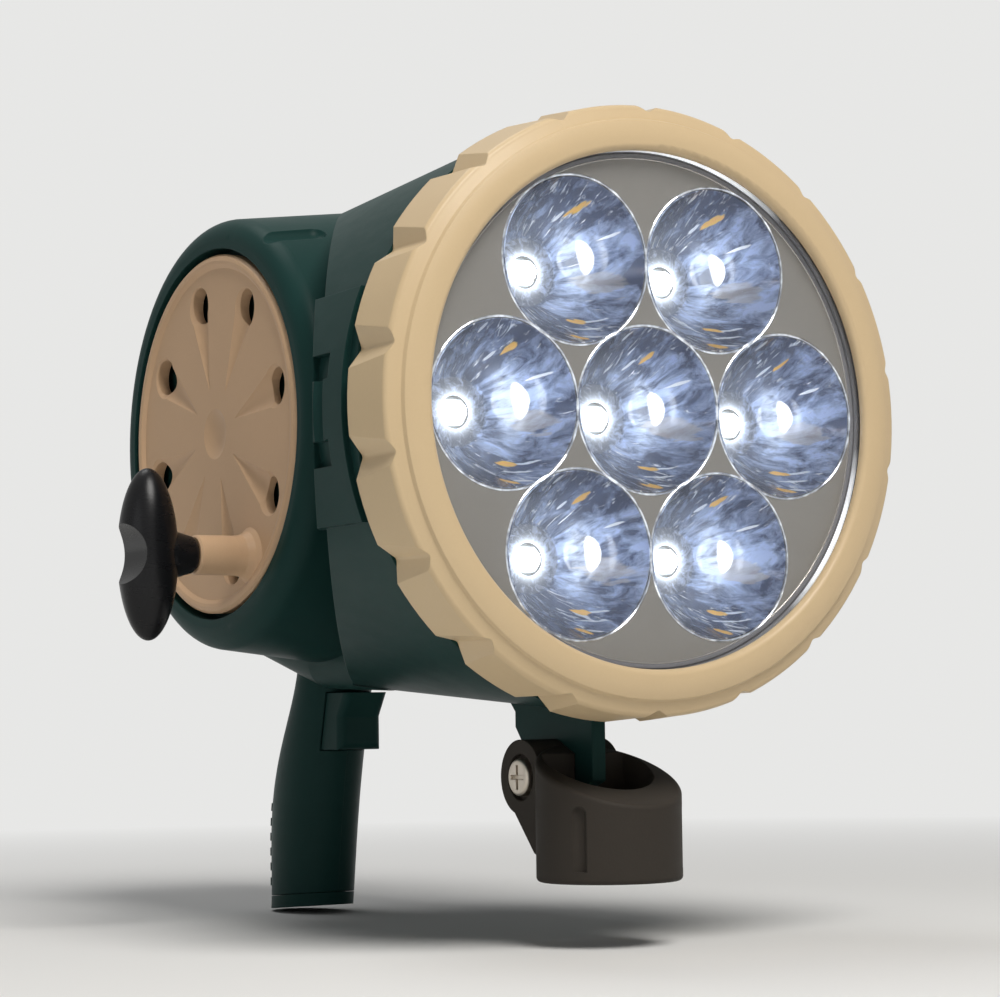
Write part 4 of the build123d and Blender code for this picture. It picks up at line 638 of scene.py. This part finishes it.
        # A brown chip of painted reflection
        brown_reflection = self.painted_reflection(p, side, *PAINTED_BROWN_REFLECTION, wobble) * 0.55
        tint = p.blend(brown_reflection, tint, (0.62, 0.55, 0.46, 1.0))
        # Amber chips: painted reflections of warm lights, which also glow below
        amber_reflection = sum(self.painted_reflection(p, side, *painted_reflection, wobble) for painted_reflection in PAINTED_AMBER_REFLECTIONS).clamp()
        tint = p.blend(amber_reflection, tint, (1.0, 0.60, 0.11, 1.0))
        # Painted light as emission: bright glint specks, a painted glow of the emitter round the floor and
        # spilling up the wall, a faint glow on the pale streaks and a warm glow on the amber reflections
        specks = ((0.075 - p.cells(620.0)) * 18.0).clamp() * (down * 0.7 + 0.3).clamp()
        core = (near ** 4.0) * 1.1 + (near * 12.0).clamp() * 0.07
        spill = ((down - 0.35) * 1.5).clamp() * wall * 0.05
        shine = (core + spill + specks * 0.30 + pale * 0.10).clamp()
        glow = p.blend(amber_reflection, p.blend(shine, BLACK, opaque(c.light)), (0.10, 0.058, 0.006, 1.0))
        return p.surface(
            Base_Color=tint, Metallic=1.0, Roughness=0.52 - pale.clamp() * 0.18,
            Normal=p.bump(patches, 0.25, 0.0006),
            Coat_Weight=1.0, Coat_Roughness=0.05, Coat_IOR=2.4,
            Emission_Color=glow, Emission_Strength=light.halo,
        )


class LAMP_OT_emitters(bpy.types.Operator):
    """Lit domes on pale bases with a painted glow, the board behind and the heat sink"""

    bl_idname = "lamp.emitters"
    bl_label = "Emitters"

    def execute(self, context):
        c, light = context.scene.lamp_colours, context.scene.lamp_light
        p = Paint("emitter_dome")
        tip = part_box("led_domes")[0].y
        y = p.node("ShaderNodeSeparateXYZ", {}, {"Vector": p.place()}, "Y")
        lit = ((tip + 0.0020 - y) * 2500.0).clamp() * 0.88 + 0.12
        pale = p.blend(p.noise(800.0, 2.0), opaque(c.light), WHITE)
        glow = p.blend(lit, BLACK, pale)
        coat("led_domes", p.surface(
            Base_Color=(0.9, 0.9, 0.8, 1.0), Roughness=0.1,
            Emission_Color=glow, Emission_Strength=light.emitter,
        ))
        # The pale bases glow with painted light from the emitters
        p = Paint("emitter_base")
        tint = p.shade(p.noise(700.0), (0.8, 0.8, 0.76), 0.1)
        coat("led_bases", p.surface(
            Base_Color=tint, Roughness=0.4,
            Emission_Color=opaque(c.light), Emission_Strength=light.halo * 0.5,
        ))
        coat("led_board", moulded(
            "white_mask", (0.78, 0.78, 0.76), rough=0.45, grain=900.0, depth=0.00001, spread=0.05,
            edge=0.0002,
        ))
        coat("heat_sink", metal("sink_aluminium", (0.75, 0.76, 0.77), rough=0.4, brushed=(1, 1, 9)))
        return {"FINISHED"}


class LAMP_OT_housing(bpy.types.Operator):
    """Green bell, drum halves, cover, butt cap and trigger, and the ribbed strip on the grip"""

    bl_idname = "lamp.housing"
    bl_label = "Housing"

    def execute(self, context):
        c = context.scene.lamp_colours
        green = moulded("green_moulding", c.green, rough=0.40, grain=2400.0, spread=0.22, gloss=0.08)
        for node in ("front_shell", "housing_left", "housing_right", "butt_cap", "side_cover", "trigger"):
            coat(node, green)
        coat("grip_insert", moulded(
            "grip_rubber", c.rubber, rough=0.62, grain=3200.0, depth=0.00004, spread=0.2, gloss=0.05,
        ))
        return {"FINISHED"}


class LAMP_OT_crank(bpy.types.Operator):
    """Crank disc, knob and their pin"""

    bl_idname = "lamp.crank"
    bl_label = "Crank"

    def execute(self, context):
        c = context.scene.lamp_colours
        # Cream darkened as painted shade
        coat("crank_disc", moulded(
            "disc_moulding_shaded", c.disc, grain=1600.0, depth=0.00001, spread=0.08, edge=0.0003, gloss=0.3,
        ))
        coat("knob", moulded(
            "knob_moulding", c.black, rough=0.28, grain=2400.0, depth=0.00001, spread=0.25, edge=0.0006,
            gloss=0.28,
        ))
        coat("knob_pin", metal("pin_steel", (0.6, 0.6, 0.6), brushed=(12, 1, 1)))
        return {"FINISHED"}


class LAMP_OT_bracket(bpy.types.Operator):
    """Tilting bracket with its bolt and nut, and the other screws"""

    bl_idname = "lamp.bracket"
    bl_label = "Bracket"

    def execute(self, context):
        c = context.scene.lamp_colours
        coat("tilt_bracket", moulded(
            "bracket_moulding", c.grey, rough=0.55, grain=1500.0, depth=0.00006, spread=0.16, edge=0.0006,
            gloss=0.08,
        ))
        zinc = metal("zinc_plate", c.zinc, rough=0.36, brushed=(1, 6, 1), per_metre=700.0, edge=0.0004)
        for node in (
            "pivot_bolt", "pivot_nut", "housing_screws", "shell_screws", "cover_screws", "engine_screws",
            "board_screws", "gearbox_screws",
        ):
            coat(node, zinc)
        return {"FINISHED"}


def board_paint():
    """Solder mask with faint tracks."""
    p = Paint("solder_mask")
    bricks = {"Vector": p.place(), "Scale": 90.0, "Mortar Size": 0.03}
    tracks = p.node("ShaderNodeTexBrick", {}, bricks, 1)
    tint = p.blend(tracks, (0.02, 0.16, 0.07, 1.0), (0.05, 0.28, 0.12, 1.0))
    return p.surface(Base_Color=tint, Roughness=0.35, Normal=p.bump(tracks, 0.3, 0.0001))


class LAMP_OT_drive(bpy.types.Operator):
    """Gear train, shafts, generator, the trigger's spring and the cells' contacts"""

    bl_idname = "lamp.drive"
    bl_label = "Drive"

    def execute(self, context):
        nylon = moulded("gear_nylon", (0.78, 0.76, 0.70), rough=0.5, grain=1500.0, spread=0.06, edge=0.0002)
        for node in ("drive_gear", "stage_gear"):
            coat(node, nylon)
        ground = metal("ground_steel", (0.62, 0.62, 0.62), rough=0.25, brushed=(14, 1, 1))
        for node in ("crank_shaft", "stage_axle", "gear_spacers", "generator_rotor", "cell_contacts"):
            coat(node, ground)
        self.spring(context.scene.lamp_sizes, ground)
        plate = metal("plate_steel", (0.58, 0.59, 0.60), rough=0.4, brushed=(1, 1, 8))
        for node in ("gear_plate_outer", "gear_plate_inner", "generator_case"):
            coat(node, plate)
        coat("shaft_bushes", metal("bush_bronze", (0.60, 0.38, 0.18), rough=0.45))
        coat("generator_coils", metal(
            "winding_copper", (0.75, 0.33, 0.14), rough=0.35, brushed=(1, 9, 9), per_metre=1500.0,
        ))
        return {"FINISHED"}

    def spring(self, s, finish):
        """The trigger's spring, welded into a piece of its own that rides with the lamp in place of the
        imported one.
        """
        bm = bmesh.new()
        bm.from_mesh(NODES["trigger_spring"].data)
        bmesh.ops.remove_doubles(bm, verts=bm.verts, dist=WELD)
        coil = finish_piece("spring_coil", bm, "lamp", finish)
        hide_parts("trigger_spring")
        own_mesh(coil)


class LAMP_OT_power(bpy.types.Operator):
    """Cells, tray, board and switch"""

    bl_idname = "lamp.power"
    bl_label = "Power"

    def execute(self, context):
        coat("battery_cells", moulded(
            "cell_sleeve", (0.05, 0.30, 0.10), rough=0.3, grain=900.0, depth=0.00001, edge=0.0003,
            lacquer=0.3,
        ))
        dark = moulded(
            "black_moulding", (0.03, 0.03, 0.033), rough=0.5, grain=2000.0, spread=0.2, edge=0.0004,
        )
        for node in ("cell_tray", "trigger_switch", "board_parts"):
            coat(node, dark)
        coat("control_board", board_paint())
        return {"FINISHED"}


class LAMP_OT_stage(bpy.types.Operator):
    """Pale floor, soft light and the camera"""

    bl_idname = "lamp.stage"
    bl_label = "Stage"

    def execute(self, context):
        st = context.scene.lamp_stage
        self.floor(st)
        self.world(context, st)
        for name, place, size, power, colour in (
            ("key_light", (-0.15, -0.95, 1.35), 0.8, st.key, (1.0, 0.975, 0.94)),
            ("fill_light", (-1.3, -0.4, 0.35), 0.9, st.fill, (0.95, 0.98, 1.0)),
            ("top_light", (-0.2, 0.6, 1.5), 0.8, st.fill * 4.0, (1.0, 1.0, 1.0)),
        ):
            self.soft_light(name, place, size, power, colour)
        self.camera(context, st)
        context.scene.view_settings.view_transform = "Standard"
        return {"FINISHED"}

    def floor(self, st):
        """Round floor under the lamp, which pales into the background away from it."""
        bm = bmesh.new()
        bmesh.ops.create_circle(bm, cap_ends=True, segments=96, radius=FLOOR_REACH)
        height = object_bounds()[0].z - FLOOR_DROP
        bmesh.ops.translate(bm, verts=bm.verts, vec=(0, 0, height))
        bmesh.ops.recalc_face_normals(bm, faces=bm.faces)
        mesh = bpy.data.meshes.new("floor")
        bm.to_mesh(mesh)
        bm.free()
        floor = bpy.data.objects.new("floor", mesh)
        bpy.context.scene.collection.objects.link(floor)
        p = Paint("floor_paint")
        far = p.node("ShaderNodeVectorMath", {"operation": "LENGTH"}, {0: p.place()}, "Value")
        away = ((far - PALE_FROM) * PALE_GROWTH).clamp()
        camera, glossy = seen_by(p, "Camera", "Glossy")
        matt = p.node("ShaderNodeBsdfDiffuse", {}, {"Color": opaque(st.floor)})
        pale = p.node("ShaderNodeEmission", {}, {"Color": opaque(st.floor), "Strength": 1.0})
        seen = (camera + glossy).clamp()
        p.close(p.node("ShaderNodeMixShader", {}, {0: away * seen, 1: matt, 2: pale}))
        mesh.materials.append(p.holder)
        floor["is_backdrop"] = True

    def world(self, context, st):
        """Even light from all round, which is seen as the floor's pale colour."""
        world = bpy.data.worlds.new("soft_room")
        context.scene.world = world
        p = Paint("soft_room", world)
        camera, glossy, through = seen_by(p, "Camera", "Glossy", "Transmission")
        shown = (camera + glossy * 0.55 + through).clamp()
        even = p.node("ShaderNodeBackground", {}, {"Color": WHITE, "Strength": st.world})
        pale = p.node("ShaderNodeBackground", {}, {"Color": opaque(st.floor), "Strength": 1.0})
        p.close(p.node("ShaderNodeMixShader", {}, {0: shown, 1: even, 2: pale}), "ShaderNodeOutputWorld")

    def soft_light(self, name, place, size, power, colour):
        """A round soft light that faces the lamp."""
        data = bpy.data.lights.new(name, "AREA")
        data.shape = "DISK"
        data.size = size
        data.energy = power
        data.color = colour
        light = bpy.data.objects.new(name, data)
        light.location = place
        light.rotation_euler = (Vector(place) - LIGHT_AIM).to_track_quat("Z", "Y").to_euler()
        bpy.context.scene.collection.objects.link(light)

    def camera(self, context, st):
        """The camera that took the photograph's view, turned by azimuth, elevation and roll."""
        a, e, r = st.azimuth, st.elevation, st.roll
        back = Vector((sin(a) * cos(e), -cos(a) * cos(e), sin(e)))
        right = Vector((cos(a), sin(a), 0.0))
        up = back.cross(right)
        right, up = right * cos(r) + up * sin(r), up * cos(r) - right * sin(r)
        data = bpy.data.cameras.new("camera")
        data.sensor_width = 36.0
        data.lens = st.lens
        data.clip_start = 0.01
        data.clip_end = 50.0
        camera = bpy.data.objects.new("camera", data)
        place = Matrix((right, up, back)).transposed().to_4x4()
        place.translation = Vector(st.spot)
        camera.matrix_world = place
        bpy.context.scene.collection.objects.link(camera)
        context.scene.camera = camera


STEPS = (
    LAMP_OT_bezel, LAMP_OT_lens, LAMP_OT_reflector, LAMP_OT_emitters, LAMP_OT_housing, LAMP_OT_crank,
    LAMP_OT_bracket, LAMP_OT_drive, LAMP_OT_power, LAMP_OT_stage,
)


class LAMP_PT_panel(bpy.types.Panel):
    """Steps and settings of the lamp"""

    bl_idname = "LAMP_PT_panel"
    bl_label = "Hand Crank Lamp"
    bl_space_type = "VIEW_3D"
    bl_region_type = "UI"
    bl_category = "Lamp"

    def draw(self, context):
        for step in STEPS:
            self.layout.operator(step.bl_idname)
        scene = context.scene
        for group in (scene.lamp_colours, scene.lamp_sizes, scene.lamp_light, scene.lamp_stage):
            box = self.layout.box()
            for key in group.__annotations__:
                box.prop(group, key)


CLASSES = (LampColours, LampSizes, LightSettings, StageSettings, *STEPS, LAMP_PT_panel)


def register():
    for cls in CLASSES:
        bpy.utils.register_class(cls)
    bpy.types.Scene.lamp_colours = PointerProperty(type=LampColours)
    bpy.types.Scene.lamp_sizes = PointerProperty(type=LampSizes)
    bpy.types.Scene.lamp_light = PointerProperty(type=LightSettings)
    bpy.types.Scene.lamp_stage = PointerProperty(type=StageSettings)


def unregister():
    del bpy.types.Scene.lamp_stage
    del bpy.types.Scene.lamp_light
    del bpy.types.Scene.lamp_sizes
    del bpy.types.Scene.lamp_colours
    for cls in reversed(CLASSES):
        bpy.utils.unregister_class(cls)


def main():
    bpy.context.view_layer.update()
    register()
    for step in STEPS:
        group, name = step.bl_idname.split(".")
        getattr(getattr(bpy.ops, group), name)()


if __name__ == "__main__":
    main()
